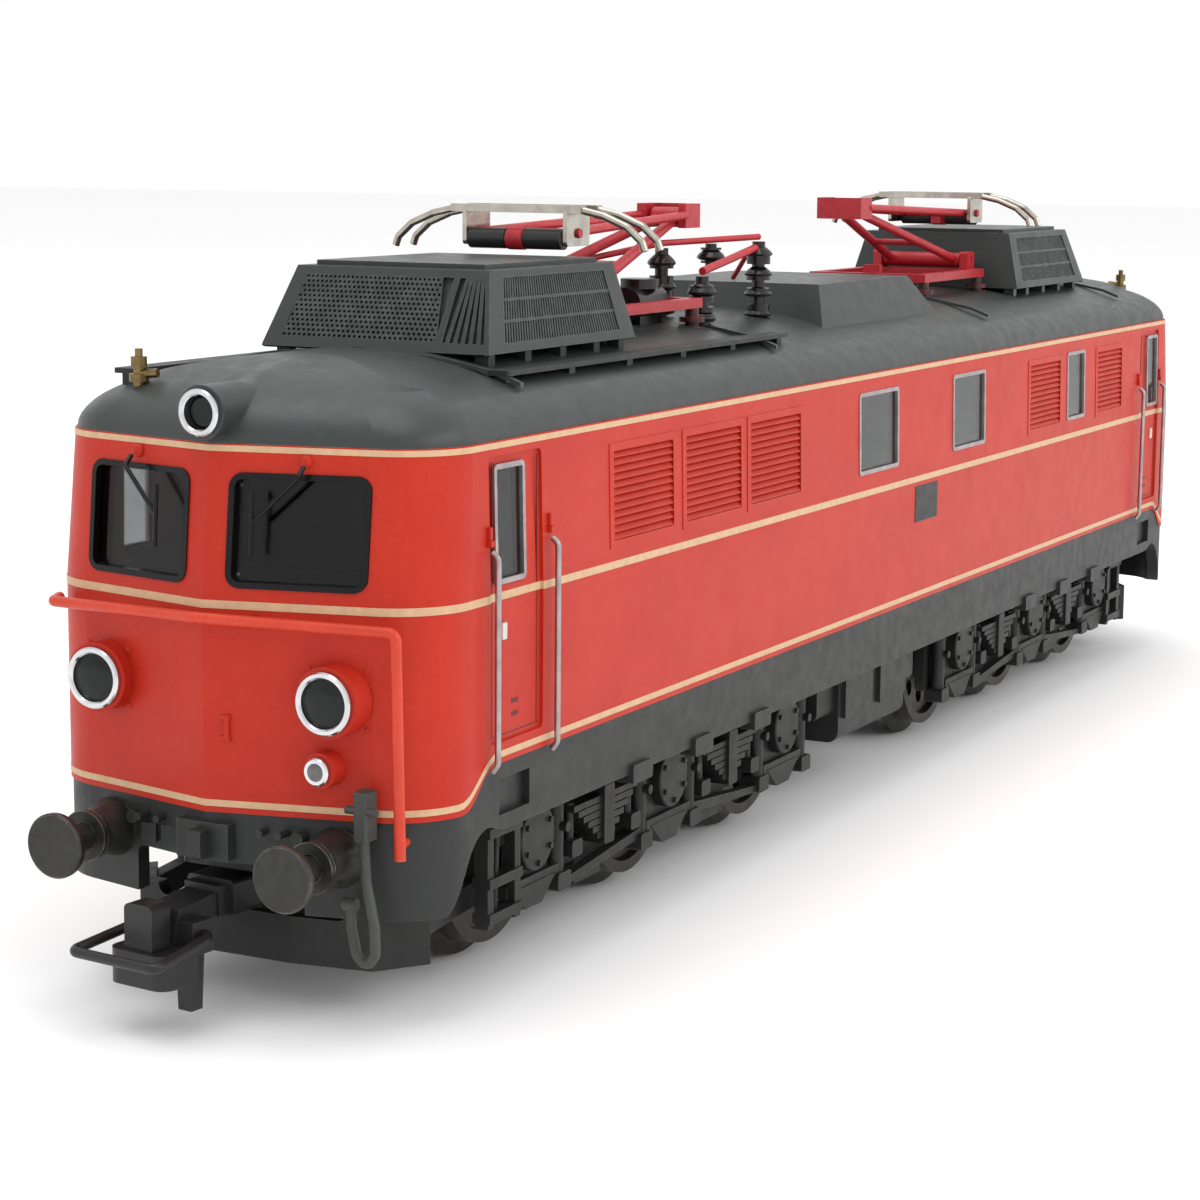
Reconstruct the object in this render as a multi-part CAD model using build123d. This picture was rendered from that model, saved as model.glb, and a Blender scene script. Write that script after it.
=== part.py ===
from build123d import *
import math
import os

# Six-axle electric locomotive, 1:87. Millimetres. X runs along the track, Y across it, Z up.
# The origin is on the track centre line, midway along, at the lowest point of the wheel flanges.
# One end is drawn, at -X; the other end is the same part turned half a turn about mid-length.
# Shapes are drawn from a datum a little short of mid-length, and save() moves them to the origin.
CENTRE_X = 2.25
MID_AXIS = Axis((CENTRE_X, 0, 0), (0, 0, 1))
MIDDLE = Pos(CENTRE_X, 0, 0)

# Wheels and track
AXLE_SPACING = 25.0
BOGIE_PIVOT_X = -47.5
WHEEL_RADIUS = 7.45
FLANGE_HEIGHT = 1.2
WHEEL_Z = WHEEL_RADIUS + FLANGE_HEIGHT
WHEEL_BACK_Y = 7.2
FLANGE_WIDTH = 0.8
WHEEL_WIDTH = 2.8
AXLE_RADIUS = 1.0
AXLE_END_Y = 10.6
RUNNING = 0.05
AXLE_XS = [BOGIE_PIVOT_X - AXLE_SPACING, BOGIE_PIVOT_X, BOGIE_PIVOT_X + AXLE_SPACING]

# Body shell: half lengths, from mid-length
NOSE_X = 99.85
NOSE_TOP_X = 98.65
NEAR_NOSE_X = CENTRE_X - NOSE_X
NOSE_SLOPE = 0.23
CORNER = 6.0
SIDE_Y = 17.45
SIDE_TOP_Y = 17.18
BELT_Z = 31.7
ROOF_EDGE_Z = 43.3
SHELL_Z = 16.1
SOLE_Z = 19.0
SOLE_BEND_X = (86.75, 92.25)
WALL = 1.2

# Underframe skirt and apron
SKIRT_INSET = 0.15
SKIRT_WALL = 1.4
SKIRT_BOTTOM_Z = 13.7
APRON_BOTTOM_Z = 8.7
APRON_BEND_X = (88.25, 93.25)
PILOT_GAP_Y = 7.5
PILOT_GAP_Z = 12.3
STEP_RECESS_X = (-84.0, -79.2)
STEP_RECESS_Z = (14.9, 17.7)
RECESS_DEPTH = 0.8

# Roof
ROOF_EDGE_Y = 16.92
CROWN_Z = 49.0
CROWN_RADIUS = 40.0
HAUNCH_RUN = 8.0
HAUNCH_RISE = 4.2
NOSE_RUN = 18.0
NOSE_RISE = 5.9
HAUNCH_TOP_Z = 47.0

# Openings: (low, high) along the wall and in height
SCREEN_Y = (1.74, 12.39)
SCREEN_Z = (32.9, 41.3)
SCREEN_CORNER = 1.1
SCREEN_CUT = 5.0
SCREEN_CUT_BACK = 1.2
SEAL_WIDTH = 0.45
FRAME_WIDTH = 0.4
WINDOW_CORNER = 0.5
SIDE_WINDOW_Z = (33.5, 41.5)
SIDE_WINDOWS = [(x, SIDE_WINDOW_Z) for x in ((-13.0, -2.5), (13.2, 23.3), (51.9, 58.7))]
DOOR_X = (-85.6, -77.4)
DOOR_Z = (20.6, 42.2)
DOOR_DEPTH = 0.25
DOOR_WINDOW = ((-84.9, -80.2), (32.6, 41.6))
FAR_DOOR_X = (81.9, 90.1)
FAR_DOOR_WINDOW = ((84.7, 89.4), (32.6, 41.6))
LOUVRE_XS = [(-65.4, -54.4), (-51.9, -40.7), (-38.6, -27.4), (38.5, 49.3), (63.8, 73.7)]
LOUVRE_Z = (33.6, 40.8)
LOUVRE_DEPTH = 0.55

# Lamps
HEADLAMP_Y = 10.2
HEADLAMP_Z = 25.1
HEADLAMP_FRONT_X = -97.44
HEADLAMP_RADIUS = 2.35
TAIL_LAMP_Y = -9.5
TAIL_LAMP_Z = 20.0
TAIL_LAMP_FRONT_X = -97.3
TAIL_LAMP_RADIUS = 1.05
TOP_LAMP_Z = 45.6
TOP_LAMP_FRONT_X = -97.8
TOP_LAMP_RADIUS = 1.75
RIM_DEPTH = 0.5

# Buffers
BUFFER_Y = 10.05
BUFFER_Z = 13.3
BUFFER_FACE_X = -102.65
BUFFER_HEAD_RADIUS = 2.48
BUFFER_HEAD_DEPTH = 1.0
BUFFER_SHANK_RADIUS = 1.0
SLEEVE_RADIUS = 1.7
SLEEVE_FRONT_X = -99.0
SLEEVE_FOOT_X = -94.6
SLEEVE_TAIL_X = -92.6

# Chassis, motor and drive
CHASSIS_Z = (18.0, 27.0)
CHASSIS_Y = 15.4
CHASSIS_END_X = 90.25
DRIVE_Z = 23.7
MOTOR_HALF = (12.5, 8.0, 7.0)
ARMATURE_RADIUS = 5.2
ARMATURE_HALF = 9.5
SHAFT_RADIUS = 1.0
SHAFT_END_X = 20.5
FLYWHEEL_X = (13.4, 18.4)
FLYWHEEL_RADIUS = 6.2
CARDAN_X = (18.7, 25.45)
CARDAN_RADIUS = 1.6

# Gears
MODULE = 0.4
IDLER_TEETH = 40
AXLE_GEAR_TEETH = 26
GEAR_WIDTH = 2.4
GEAR_PLAY = 0.05
IDLER_X = BOGIE_PIVOT_X + AXLE_SPACING / 2
WORM_RADIUS = 2.6
WORM_PITCH = math.pi * MODULE
WORM_TURNS = 7
WORM_SHAFT_RADIUS = 0.75

# Couplers
COUPLER_PIVOT_X = -87.0
COUPLER_REST_SWING = -6.8
LOOP_HINGE_X = -99.6
LOOP_HINGE_Z = 7.4
LOOP_WIRE = 0.4

# King pin
KING_PIN_RADIUS = 1.0
BOLSTER_X = (-51.0, -45.9)
BOLSTER_Z = (18.0, 22.0)

# Bent wire
BEND_RADIUS = 0.6

# Pantographs
PAN_BASE = (-45.0, 52.0)
PAN_KNEE = (-20.0, 58.2)
PAN_HEAD = (-48.5, 57.4)
PAN_PIN = 0.4


def block(x, y, z):
    """Box between three pairs of limits."""
    size = [abs(high - low) for low, high in (x, y, z)]
    middle = [(high + low) / 2 for low, high in (x, y, z)]
    return Pos(*middle) * Box(*size)


def soft_block(x, y, z, radius, axis=Axis.Z):
    """Box with the edges parallel to one axis rounded."""
    shape = block(x, y, z)
    return fillet(shape.edges().filter_by(axis), radius)


def rod(start, end, radius):
    """Round bar between two points."""
    run = Vector(*end) - Vector(*start)
    base = Plane(origin=start, z_dir=run)
    return base * Cylinder(radius, run.length, align=(Align.CENTER, Align.CENTER, Align.MIN))


def tube(start, end, outer, inner):
    return rod(start, end, outer) - rod(start, end, inner)


def wire(points, radius, bend=BEND_RADIUS, closed=False):
    """Round wire with its corners bent to a radius."""
    path = FilletPolyline(*points, radius=bend, close=closed)
    section = Plane(origin=path @ 0, z_dir=path % 0) * Circle(radius)
    return sweep(section, path=path)


def prism(points, plane, depth):
    """Polygon on a plane, extruded both ways by half the depth."""
    return extrude(plane * make_face(Polyline(*points, close=True)), depth / 2, both=True)


def turned(shape):
    """The same thing at the other end of the locomotive."""
    return shape.rotate(MID_AXIS, 180)


def both_ends(*shapes):
    return [*shapes, *[turned(shape) for shape in shapes]]


def mirrored(shape):
    return shape.mirror(Plane.XZ)


def save(name, *shapes):
    solids = [MIDDLE.inverse() * solid for shape in shapes for solid in shape.solids()]
    export_step(Compound(solids), f"parts/{name}.step")


def outline(nose_x, side_y, corner):
    """Plan of the body: two parallel sides and a blunt V at each end."""
    shoulder_x = nose_x - NOSE_SLOPE * side_y
    points = [(nose_x, 0), (shoulder_x, side_y), (-shoulder_x, side_y)]
    points += [(-nose_x, 0), (-shoulder_x, -side_y), (shoulder_x, -side_y)]
    face = make_face(Polyline(*points, close=True))
    return MIDDLE * fillet([v for v in face.vertices() if abs(v.Y) > corner / 2], corner)


def body_form(offset, low=SHELL_Z, high=ROOF_EDGE_Z):
    """Solid body shape, grown by an offset: upright below the belt, leaning in above it."""
    corner = CORNER + offset
    lower = outline(NOSE_X + offset, SIDE_Y + offset, corner)
    upper = outline(NOSE_TOP_X + offset, SIDE_TOP_Y + offset, corner)
    skirt = Pos(0, 0, low) * extrude(lower, BELT_Z - low)
    return skirt + loft([Pos(0, 0, BELT_Z) * lower, Pos(0, 0, high) * upper])


def sole_cut(extra_y=SIDE_Y * 3):
    """Space under the body side: its lower edge drops in an S near each end."""
    inner, outer = SOLE_BEND_X
    knee = (inner + outer) / 2
    rise = Bezier((-outer, SHELL_Z), (-knee, SHELL_Z), (-knee, SOLE_Z), (-inner, SOLE_Z))
    top = Line((-inner, SOLE_Z), (inner, SOLE_Z))
    fall = Bezier((inner, SOLE_Z), (knee, SOLE_Z), (knee, SHELL_Z), (outer, SHELL_Z))
    deep = SHELL_Z - SOLE_Z
    floor = Polyline((outer, SHELL_Z), (outer + 30, SHELL_Z), (outer + 30, deep), (-outer - 30, deep))
    close = Polyline((-outer - 30, deep), (-outer - 30, SHELL_Z), (-outer, SHELL_Z))
    face = make_face([Plane.XZ * edge for part in (rise, top, fall, floor, close) for edge in part.edges()])
    return MIDDLE * extrude(face, extra_y / 2, both=True)


def side_opening(x, z, corner, grow=0.0):
    """Rounded rectangle right through the -Y side."""
    width, height = x[1] - x[0] + 2 * grow, z[1] - z[0] + 2 * grow
    middle = Pos((x[0] + x[1]) / 2, (z[0] + z[1]) / 2)
    face = Plane.XZ * middle * RectangleRounded(width, height, corner + grow)
    return Pos(0, -SIDE_Y, 0) * extrude(face, 3, both=True)


def screen_opening(side, grow=0.0):
    """Rounded rectangle right through one half of the -X nose."""
    middle_y = side * (SCREEN_Y[0] + SCREEN_Y[1]) / 2
    width = SCREEN_Y[1] - SCREEN_Y[0] + 2 * grow
    height = SCREEN_Z[1] - SCREEN_Z[0] + 2 * grow
    middle_z = (SCREEN_Z[0] + SCREEN_Z[1]) / 2
    face = Plane.YZ * Pos(middle_y, middle_z) * RectangleRounded(width, height, SCREEN_CORNER + grow)
    return Pos(NEAR_NOSE_X + SCREEN_CUT_BACK, 0, 0) * extrude(face, SCREEN_CUT, both=True)


def glazed_openings(grow=0.0):
    """Every side window of the -Y side, as cutters."""
    windows = [*SIDE_WINDOWS, DOOR_WINDOW, FAR_DOOR_WINDOW]
    return [side_opening(x, z, WINDOW_CORNER, grow) for x, z in windows]


def body_shell(form, core):
    shell = form - core
    bosses = Part()
    for y, z, front, radius in lamp_places():
        bosses += rod((front + RIM_DEPTH, y, z), (-94.8, y, z), radius + 0.3)
    shell += both_ends(*bosses.solids())
    cutters = [screen_opening(side) for side in (1, -1)] + glazed_openings()
    skin_depth = body_form(-DOOR_DEPTH)
    doors = [side_opening(x, DOOR_Z, WINDOW_CORNER) for x in (DOOR_X, FAR_DOOR_X)]
    shell -= both_ends(*[door - skin_depth for door in doors])
    louvre_floor = body_form(-LOUVRE_DEPTH)
    louvres = [side_opening(x, LOUVRE_Z, WINDOW_CORNER / 2) - louvre_floor for x in LOUVRE_XS]
    shell -= both_ends(*louvres)
    for y, z, front, radius in lamp_places():
        cutters.append(rod((front, y, z), (front + 1.9, y, z), radius - 0.5))
    shell -= both_ends(*cutters)
    return shell - sole_cut()


def lamp_places():
    lamps = [(side * HEADLAMP_Y, HEADLAMP_Z, HEADLAMP_FRONT_X, HEADLAMP_RADIUS) for side in (1, -1)]
    lamps.append((TAIL_LAMP_Y, TAIL_LAMP_Z, TAIL_LAMP_FRONT_X, TAIL_LAMP_RADIUS))
    return lamps


def lamp_rims_and_lenses():
    rims, lenses = [], []
    for y, z, front, radius in [*lamp_places(), (0, TOP_LAMP_Z, TOP_LAMP_FRONT_X, TOP_LAMP_RADIUS)]:
        rim = tube((front, y, z), (front + RIM_DEPTH, y, z), radius, radius - 0.5)
        rims.append(chamfer(rim.edges().group_by(Axis.X)[0], 0.12))
        glass = rod((front + 0.7, y, z), (front + 1.9, y, z), radius - 0.52)
        lenses.append(fillet(glass.edges().group_by(Axis.X)[0], 0.25))
    return both_ends(*rims), both_ends(*lenses)


def surface_layer(outer, inner):
    return body_form(outer) - body_form(inner)


def fitted_windows():
    """Rubber screen seals, bright side frames and the clear panes inside both."""
    seal_layer = surface_layer(0.15, -WALL + 0.1)
    frame_layer = surface_layer(0.1, -0.6)
    pane_layer = surface_layer(-0.55, -1.0)
    seals = [(screen_opening(s) - screen_opening(s, -SEAL_WIDTH)) & seal_layer for s in (1, -1)]
    outer, inner = glazed_openings(), glazed_openings(-FRAME_WIDTH)
    frames = [(big - small) & frame_layer for big, small in zip(outer, inner)]
    panes = [screen_opening(s, -SEAL_WIDTH) & pane_layer for s in (1, -1)]
    panes += [small & surface_layer(-0.2, -0.6) for small in inner]
    return both_ends(*seals), both_ends(*frames), both_ends(*panes)


def underframe_skirt():
    """Grey lower frame: side skirts, corner aprons and buffer beams in one ring."""
    offset = -SKIRT_INSET
    outer = outline(NOSE_X + offset, SIDE_Y + offset, CORNER + offset)
    inner = outline(NOSE_X + offset - SKIRT_WALL, SIDE_Y + offset - SKIRT_WALL, CORNER - SKIRT_WALL)
    ring = Pos(0, 0, APRON_BOTTOM_Z) * extrude(outer - inner, SOLE_Z - APRON_BOTTOM_Z)
    ring &= sole_cut()
    low_x, high_x = APRON_BEND_X
    base, top = APRON_BOTTOM_Z - 1, SKIRT_BOTTOM_Z
    flat_x, ease_x, lip_x, bend_x = low_x - 3.5, low_x - 1.6, low_x - 1.0, high_x - 2.0
    lip_z, bend_z = top + 0.6, APRON_BOTTOM_Z + 1.7
    arch = [
        Line((-high_x, base), (-high_x, APRON_BOTTOM_Z)),
        Bezier((-high_x, APRON_BOTTOM_Z), (-bend_x, bend_z), (-bend_x, top), (-low_x, lip_z)),
        Bezier((-low_x, lip_z), (-lip_x, lip_z + 0.2), (-ease_x, top), (-flat_x, top)),
        Line((-flat_x, top), (flat_x, top)),
        Bezier((flat_x, top), (ease_x, top), (lip_x, lip_z + 0.2), (low_x, lip_z)),
        Bezier((low_x, lip_z), (bend_x, top), (bend_x, bend_z), (high_x, APRON_BOTTOM_Z)),
        Polyline((high_x, APRON_BOTTOM_Z), (high_x, base), (-high_x, base)),
    ]
    face = make_face([Plane.XZ * edge for part in arch for edge in part.edges()])
    ring -= MIDDLE * extrude(face, SIDE_Y * 2, both=True)
    gap = soft_block((-100, -88), (-PILOT_GAP_Y, PILOT_GAP_Y), (5, PILOT_GAP_Z), 0.6, Axis.X)
    ring -= both_ends(gap)
    sockets = [rod((-99, s * BUFFER_Y, BUFFER_Z), (-90, s * BUFFER_Y, BUFFER_Z), 1.5) for s in (1, -1)]
    ring -= both_ends(*sockets)
    recess = block(STEP_RECESS_X, (-SIDE_Y - 1, -SIDE_Y + RECESS_DEPTH), STEP_RECESS_Z)
    ring -= both_ends(recess, mirrored(recess))
    return ring + both_ends(*beam_fittings(), *skirt_tabs())


def beam_fittings():
    """Draw hook plate, draw hook, pegs and brackets moulded on the buffer beam."""
    plate = block((-98.0, -96.2), (-2.3, 2.3), (12.6, 15.4))
    hook = soft_block((-99.1, -97.9), (-0.6, 0.6), (12.7, 14.9), 0.3, Axis.Y)
    pegs = [rod((-97.4, y, 14.9), (-95.4, y, 14.9), 0.28) for y in (-6.3, -4.6, 4.6, 6.3)]
    bosses = [rod((-96.6, y, 14.6), (-95.0, y, 14.6), 0.5) for y in (-7.4, 7.4)]
    brackets = [block((-96.6, -95.2), (y, y + 1.3), (12.9, 14.3)) for y in (3.4, 5.2)]
    return [plate, hook, *pegs, *bosses, *brackets]


def skirt_tabs():
    """Small lifting lugs that hang under the side skirt over each bogie."""
    tabs = []
    for x in (-62.0, -50.0, -37.5):
        tab = soft_block((x, x + 3.6), (-SIDE_Y - 0.25, -SIDE_Y + 1.3), (12.9, 14.5), 0.3, Axis.Y)
        tabs += [tab, mirrored(tab)]
    return tabs


def quarter_round(z, run, rise):
    """How far an elliptical rounding over the roof edge has come in at a height."""
    share = (z - ROOF_EDGE_Z) / rise
    return run * (1 - math.sqrt(max(0.0, 1 - share**2)))


def haunch_inset(z):
    return quarter_round(z, HAUNCH_RUN, HAUNCH_RISE)


def roof_level(z, half):
    nose = NOSE_TOP_X - quarter_round(z, NOSE_RUN, NOSE_RISE)
    return Pos(0, 0, z) * outline(nose, half, CORNER - 0.1)


def roof_form():
    """Domed roof: rounded haunches, an arched crown and long rounded ends."""
    levels = (ROOF_EDGE_Z, 44.3, 45.3, 46.2, HAUNCH_TOP_Z)
    low = loft([roof_level(z, ROOF_EDGE_Y - haunch_inset(z)) for z in levels])
    half = ROOF_EDGE_Y - haunch_inset(HAUNCH_TOP_Z)
    levels = (HAUNCH_TOP_Z, 47.7, 48.4, CROWN_Z)
    cap = loft([roof_level(z, half) for z in levels])
    crown = rod((-110, 0, CROWN_Z - CROWN_RADIUS), (110, 0, CROWN_Z - CROWN_RADIUS), CROWN_RADIUS)
    return (low & crown) + (cap & crown)


def roof_shell(form):
    hollow = Pos(0, 0, ROOF_EDGE_Z) * extrude(outline(88.25, 14.6, CORNER), 1.6)
    inner_crown = rod((-80, 0, CROWN_Z - CROWN_RADIUS), (80, 0, CROWN_Z - CROWN_RADIUS), CROWN_RADIUS - 1.4)
    arch = inner_crown & block((-80, 80), (-12.5, 12.5), (ROOF_EDGE_Z, CROWN_Z))
    shell = form - hollow - arch
    lamp = rod((TOP_LAMP_FRONT_X + RIM_DEPTH, 0, TOP_LAMP_Z), (-86, 0, TOP_LAMP_Z), TOP_LAMP_RADIUS + 0.25)
    front = (TOP_LAMP_FRONT_X, 0, TOP_LAMP_Z)
    socket = rod(front, (TOP_LAMP_FRONT_X + 1.9, 0, TOP_LAMP_Z), TOP_LAMP_RADIUS - 0.5)
    hood = roof_hood_form()
    shell = shell + both_ends(lamp) + hood
    return shell - both_ends(socket)


def roof_hood_form():
    """Raised hatch over the machine room, with sloping ends and flat top."""
    foot = plan((-8.6, 25.0), 11.6, 46.4)
    head = plan((-6.3, 18.0), 10.0, 51.5)
    return loft([foot, head], ruled=True)


def plan(x, half_y, z):
    """Rectangle at a height, as wide each side of the centre line."""
    corners = [(x[0], -half_y), (x[1], -half_y), (x[1], half_y), (x[0], half_y)]
    return Pos(0, 0, z) * make_face(Polyline(*corners, close=True))


def roof_cooler(form):
    """Air-cooler box: sloping sides, a stepped lid and short feet on the roof."""
    foot = plan((-73.8, -48.2), 10.6, 48.7)
    head = plan((-70.8, -49.4), 8.95, 55.1)
    lid = block((-69.6, -50.4), (-7.9, 7.9), (55.1, 55.5))
    places = [(x, y) for x in (-72.6, -66.6, -60.6, -54.6, -50.0) for y in (-9.9, 8.7)]
    feet = [block((x, x + 1.0), (y, y + 1.2), (46.8, 48.7)) for x, y in places]
    return Part() + [loft([foot, head], ruled=True), lid, *feet] - form


def insulator(x, y, z, height, radius):
    """Ribbed porcelain post standing on the roof."""
    ribs = 4
    pitch = height / (ribs + 1)
    post = rod((x, y, z), (x, y, z + height), radius * 0.55)
    sheds = [rod((x, y, z + pitch * (i + 0.6)), (x, y, z + pitch * (i + 1.1)), radius) for i in range(ribs)]
    return Part() + [post, *sheds]


def roof_line_posts():
    """Posts of the high-voltage line: (x, y, foot height, length)."""
    near = [(-12.1, -6.0, 48.0, 7.8), (-25.0, -6.0, 48.0, 4.9)]
    return near + [(-24.5, -1.5, 48.6, 6.8), (-31.0, 3.0, 48.4, 5.6)]


def roof_line(form):
    posts = [insulator(x, y, z, length, 1.15) - form for x, y, z, length in roof_line_posts()]
    posts.append(insulator(-18.3, -3.75, 53.6, 2.1, 1.0))
    drum = rod((-35.5, -3.2, 50.6), (-29.5, -3.2, 50.6), 1.6)
    saddle = block((-34.8, -30.2), (-4.4, -2.0), (47.2, 49.6)) - form
    cap = rod((-32.5, -3.2, 52.0), (-32.5, -3.2, 52.9), 1.8)
    return posts + [drum + saddle + cap]


def busbars():
    """Red high-voltage rods from the raised pantograph line down to the roof."""
    tops = {i: (x, y, z + length + 0.45) for i, (x, y, z, length) in enumerate(roof_line_posts())}
    main = wire([(-38.0, 1.5, 52.4), (-34.0, 2.0, 54.0), tops[3], tops[2], tops[0]], 0.3)
    drop = wire([(-12.95, -6.0, 55.2), (-18.0, -6.0, 54.4), tops[1]], 0.38)
    far = wire([(-11.25, -5.8, 55.3), (-9.6, -4.0, 55.0), (-6.0, -1.0, 52.6), (-4.8, 0.0, 51.85)], 0.25)
    return [main, drop, far]


def roof_walkways(form):
    """Long tread strips beside the roof equipment, on short blocks."""
    strips = []
    for y, x in ((-12.6, (-76.0, -22.0)), (12.6, (-89.6, -22.0))):
        strip = soft_block(x, (y - 1.0, y + 1.0), (47.35, 47.75), 0.3, Axis.Z)
        count = 6
        pitch = (x[1] - x[0] - 2.0) / (count - 1)
        starts = [x[0] + 0.5 + i * pitch for i in range(count)]
        blocks = [block((start, start + 1.0), (y - 0.5, y + 0.5), (45.2, 47.4)) for start in starts]
        strips.append(Part() + [strip, *blocks] - form)
    return strips


def whistle(form):
    base = (-90.6, 10.4)
    stem = rod((*base, 45.0), (*base, 48.2), 0.42)
    collar = rod((*base, 46.9), (*base, 47.5), 0.75)
    bell = rod((*base, 48.0), (*base, 48.8), 0.62)
    tip = rod((*base, 48.8), (*base, 49.4), 0.3)
    horn = rod((base[0], base[1] - 0.2, 47.5), (base[0] + 0.2, base[1] - 1.6, 47.6), 0.35)
    return Part() + [stem, collar, bell, tip, horn] - form


def end_handrail():
    """Shunter's rail across the nose, dropping down at one corner."""
    y_end, z = 15.2, 30.4
    path = [(-94.2, y_end + 0.4, z), (-96.0, y_end - 0.4, z), (-98.75, 0, z + 0.4)]
    path += [(-95.9, -y_end - 0.3, z + 0.1), (-95.7, -y_end - 0.5, 13.9)]
    rail = wire(path, 0.42)
    pin = rod((-95.8, -y_end - 0.45, 14.8), (-93.85, -y_end + 0.1, 14.8), 0.3)
    stays = [rod((-98.0, s * 4.0, z + 0.3), (-96.9, s * 4.0, z + 0.3), 0.25) for s in (1, -1)]
    return Part() + [rail, pin, *stays]


def door_handrails():
    """Bright rails each side of every cab door, on end pins."""
    rails = []
    for x in (DOOR_X[0] - 0.2, DOOR_X[1] + 1.0):
        y = -SIDE_Y - 0.75
        rail = wire([(x, y + 0.45, 18.7), (x, y, 19.3), (x, y, 34.8), (x, y + 0.5, 35.2)], 0.24)
        rails += [rail, mirrored(rail)]
    return both_ends(*rails)


def wipers():
    """Wiper arm and blade on each windscreen."""
    parts = []
    for side in (1, -1):
        y = side * 7.6
        x = NEAR_NOSE_X + NOSE_SLOPE * abs(y)
        pivot = (x + 0.35, y, 41.9)
        elbow = (x - 0.45, y, 41.2)
        tip = (x - 1.35, y + 3.4 * -side if side > 0 else y + 3.4, 37.8)
        arm = wire([pivot, elbow, tip], 0.18)
        blade = rod((tip[0] + 0.1, tip[1], tip[2] + 2.3), (tip[0] - 0.25, tip[1], tip[2] - 2.3), 0.16)
        parts.append(arm + blade)
    return parts


def cab_interior():
    """Cab floor, driver's desk, seats and the wall behind them."""
    floor = block((-89.0, -76.5), (-15.4, 15.4), (28.6, 29.6))
    wall = block((-77.5, -76.5), (-15.4, 15.4), (29.6, 42.6))
    desk = block((-92.6, -88.6), (-12.0, 12.0), (28.6, 33.2))
    hood = soft_block((-91.6, -89.0), (4.0, 10.0), (33.2, 34.4), 0.5, Axis.Z)
    seats = []
    for y in (-6.5, 6.5):
        seats.append(soft_block((-85.0, -81.0), (y - 2.0, y + 2.0), (31.6, 32.6), 0.6, Axis.Z))
        seats.append(soft_block((-81.6, -80.6), (y - 2.0, y + 2.0), (32.4, 37.0), 0.4, Axis.X))
        seats.append(rod((-83.0, y, 29.6), (-83.0, y, 31.7), 0.7))
    return Part() + [floor, wall, desk, hood, *seats]


def buffer_sleeve(side, beam):
    y = side * BUFFER_Y
    bore = BUFFER_SHANK_RADIUS + RUNNING
    sleeve = rod((SLEEVE_FRONT_X, y, BUFFER_Z), (SLEEVE_FOOT_X, y, BUFFER_Z), SLEEVE_RADIUS)
    sleeve += rod((SLEEVE_FRONT_X, y, BUFFER_Z), (SLEEVE_FRONT_X + 0.5, y, BUFFER_Z), SLEEVE_RADIUS + 0.25)
    root = Plane(origin=(-96.6, y, BUFFER_Z), z_dir=(1, 0, 0))
    sleeve += root * Cone(SLEEVE_RADIUS, SLEEVE_RADIUS + 0.6, 2.6)
    sleeve += rod((SLEEVE_FOOT_X, y, BUFFER_Z), (SLEEVE_TAIL_X, y, BUFFER_Z), 1.45)
    bore_run = (SLEEVE_FRONT_X - 1, y, BUFFER_Z), (SLEEVE_TAIL_X + 0.4, y, BUFFER_Z)
    return sleeve - rod(*bore_run, bore) - beam


def buffer_plunger(side):
    """Domed buffer head on its shank, with a collar behind the head."""
    y = side * BUFFER_Y
    back = BUFFER_FACE_X + BUFFER_HEAD_DEPTH
    head = rod((BUFFER_FACE_X, y, BUFFER_Z), (back, y, BUFFER_Z), BUFFER_HEAD_RADIUS)
    head = fillet(head.edges().group_by(Axis.X)[-1], 0.6)
    head = chamfer(head.edges().group_by(Axis.X)[0], 0.12)
    collar = rod((back, y, BUFFER_Z), (back + 0.5, y, BUFFER_Z), BUFFER_SHANK_RADIUS + 0.35)
    shank = rod((back, y, BUFFER_Z), (-95.6, y, BUFFER_Z), BUFFER_SHANK_RADIUS)
    return head + collar + shank


def brake_hose():
    """Moulded brake hose: cock, hanging loop and coupling head."""
    cock = soft_block((-96.9, -95.3), (-13.6, -12.4), (15.2, 18.8), 0.25, Axis.Z)
    lever = rod((-96.6, -14.3, 17.4), (-96.6, -11.7, 17.4), 0.3)
    path = [(-96.3, -13.0, 15.4), (-96.5, -13.3, 12.2), (-97.0, -14.3, 9.0)]
    path += [(-97.1, -14.4, 7.0), (-97.0, -13.6, 6.0)]
    path += [(-96.9, -12.7, 6.8), (-96.6, -12.1, 8.6), (-96.4, -11.9, 10.4)]
    grip = rod((-96.4, -12.4, 10.3), (-96.4, -11.4, 10.3), 0.5)
    return wire(path, 0.4) + cock + lever + grip


def chassis_block():
    """Die-cast ballast frame with wells for the motor and both gear towers."""
    frame = MIDDLE * block((-CHASSIS_END_X, CHASSIS_END_X), (-CHASSIS_Y, CHASSIS_Y), CHASSIS_Z)
    frame = chamfer(frame.edges().filter_by(Axis.Z), 3.0)
    through = (0, 40)
    wells = [MIDDLE * block((-19.0, 19.0), (-10.5, 10.5), through)]
    wells += both_ends(block((-60.0, -22.5), (-11.0, 11.0), through))
    wells += both_ends(block((-23.0, -16.0), (-3.0, 3.0), (19.0, 40)))
    wells += [screw_shank(x, y) for x, y in screw_places()]
    bolster = block(BOLSTER_X, (-11.5, 11.5), BOLSTER_Z)
    bolster -= rod((BOGIE_PIVOT_X, 0, 0), (BOGIE_PIVOT_X, 0, 40), KING_PIN_RADIUS + RUNNING)
    return frame - wells + both_ends(bolster)


def screw_places():
    return [(CENTRE_X + x, y) for x in (-68.25, -17.25, 17.25, 68.25) for y in (-12.8, 12.8)]


def screw_shank(x, y):
    return rod((x, y, CHASSIS_Z[1] - 6.0), (x, y, CHASSIS_Z[1]), 0.8)


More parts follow.
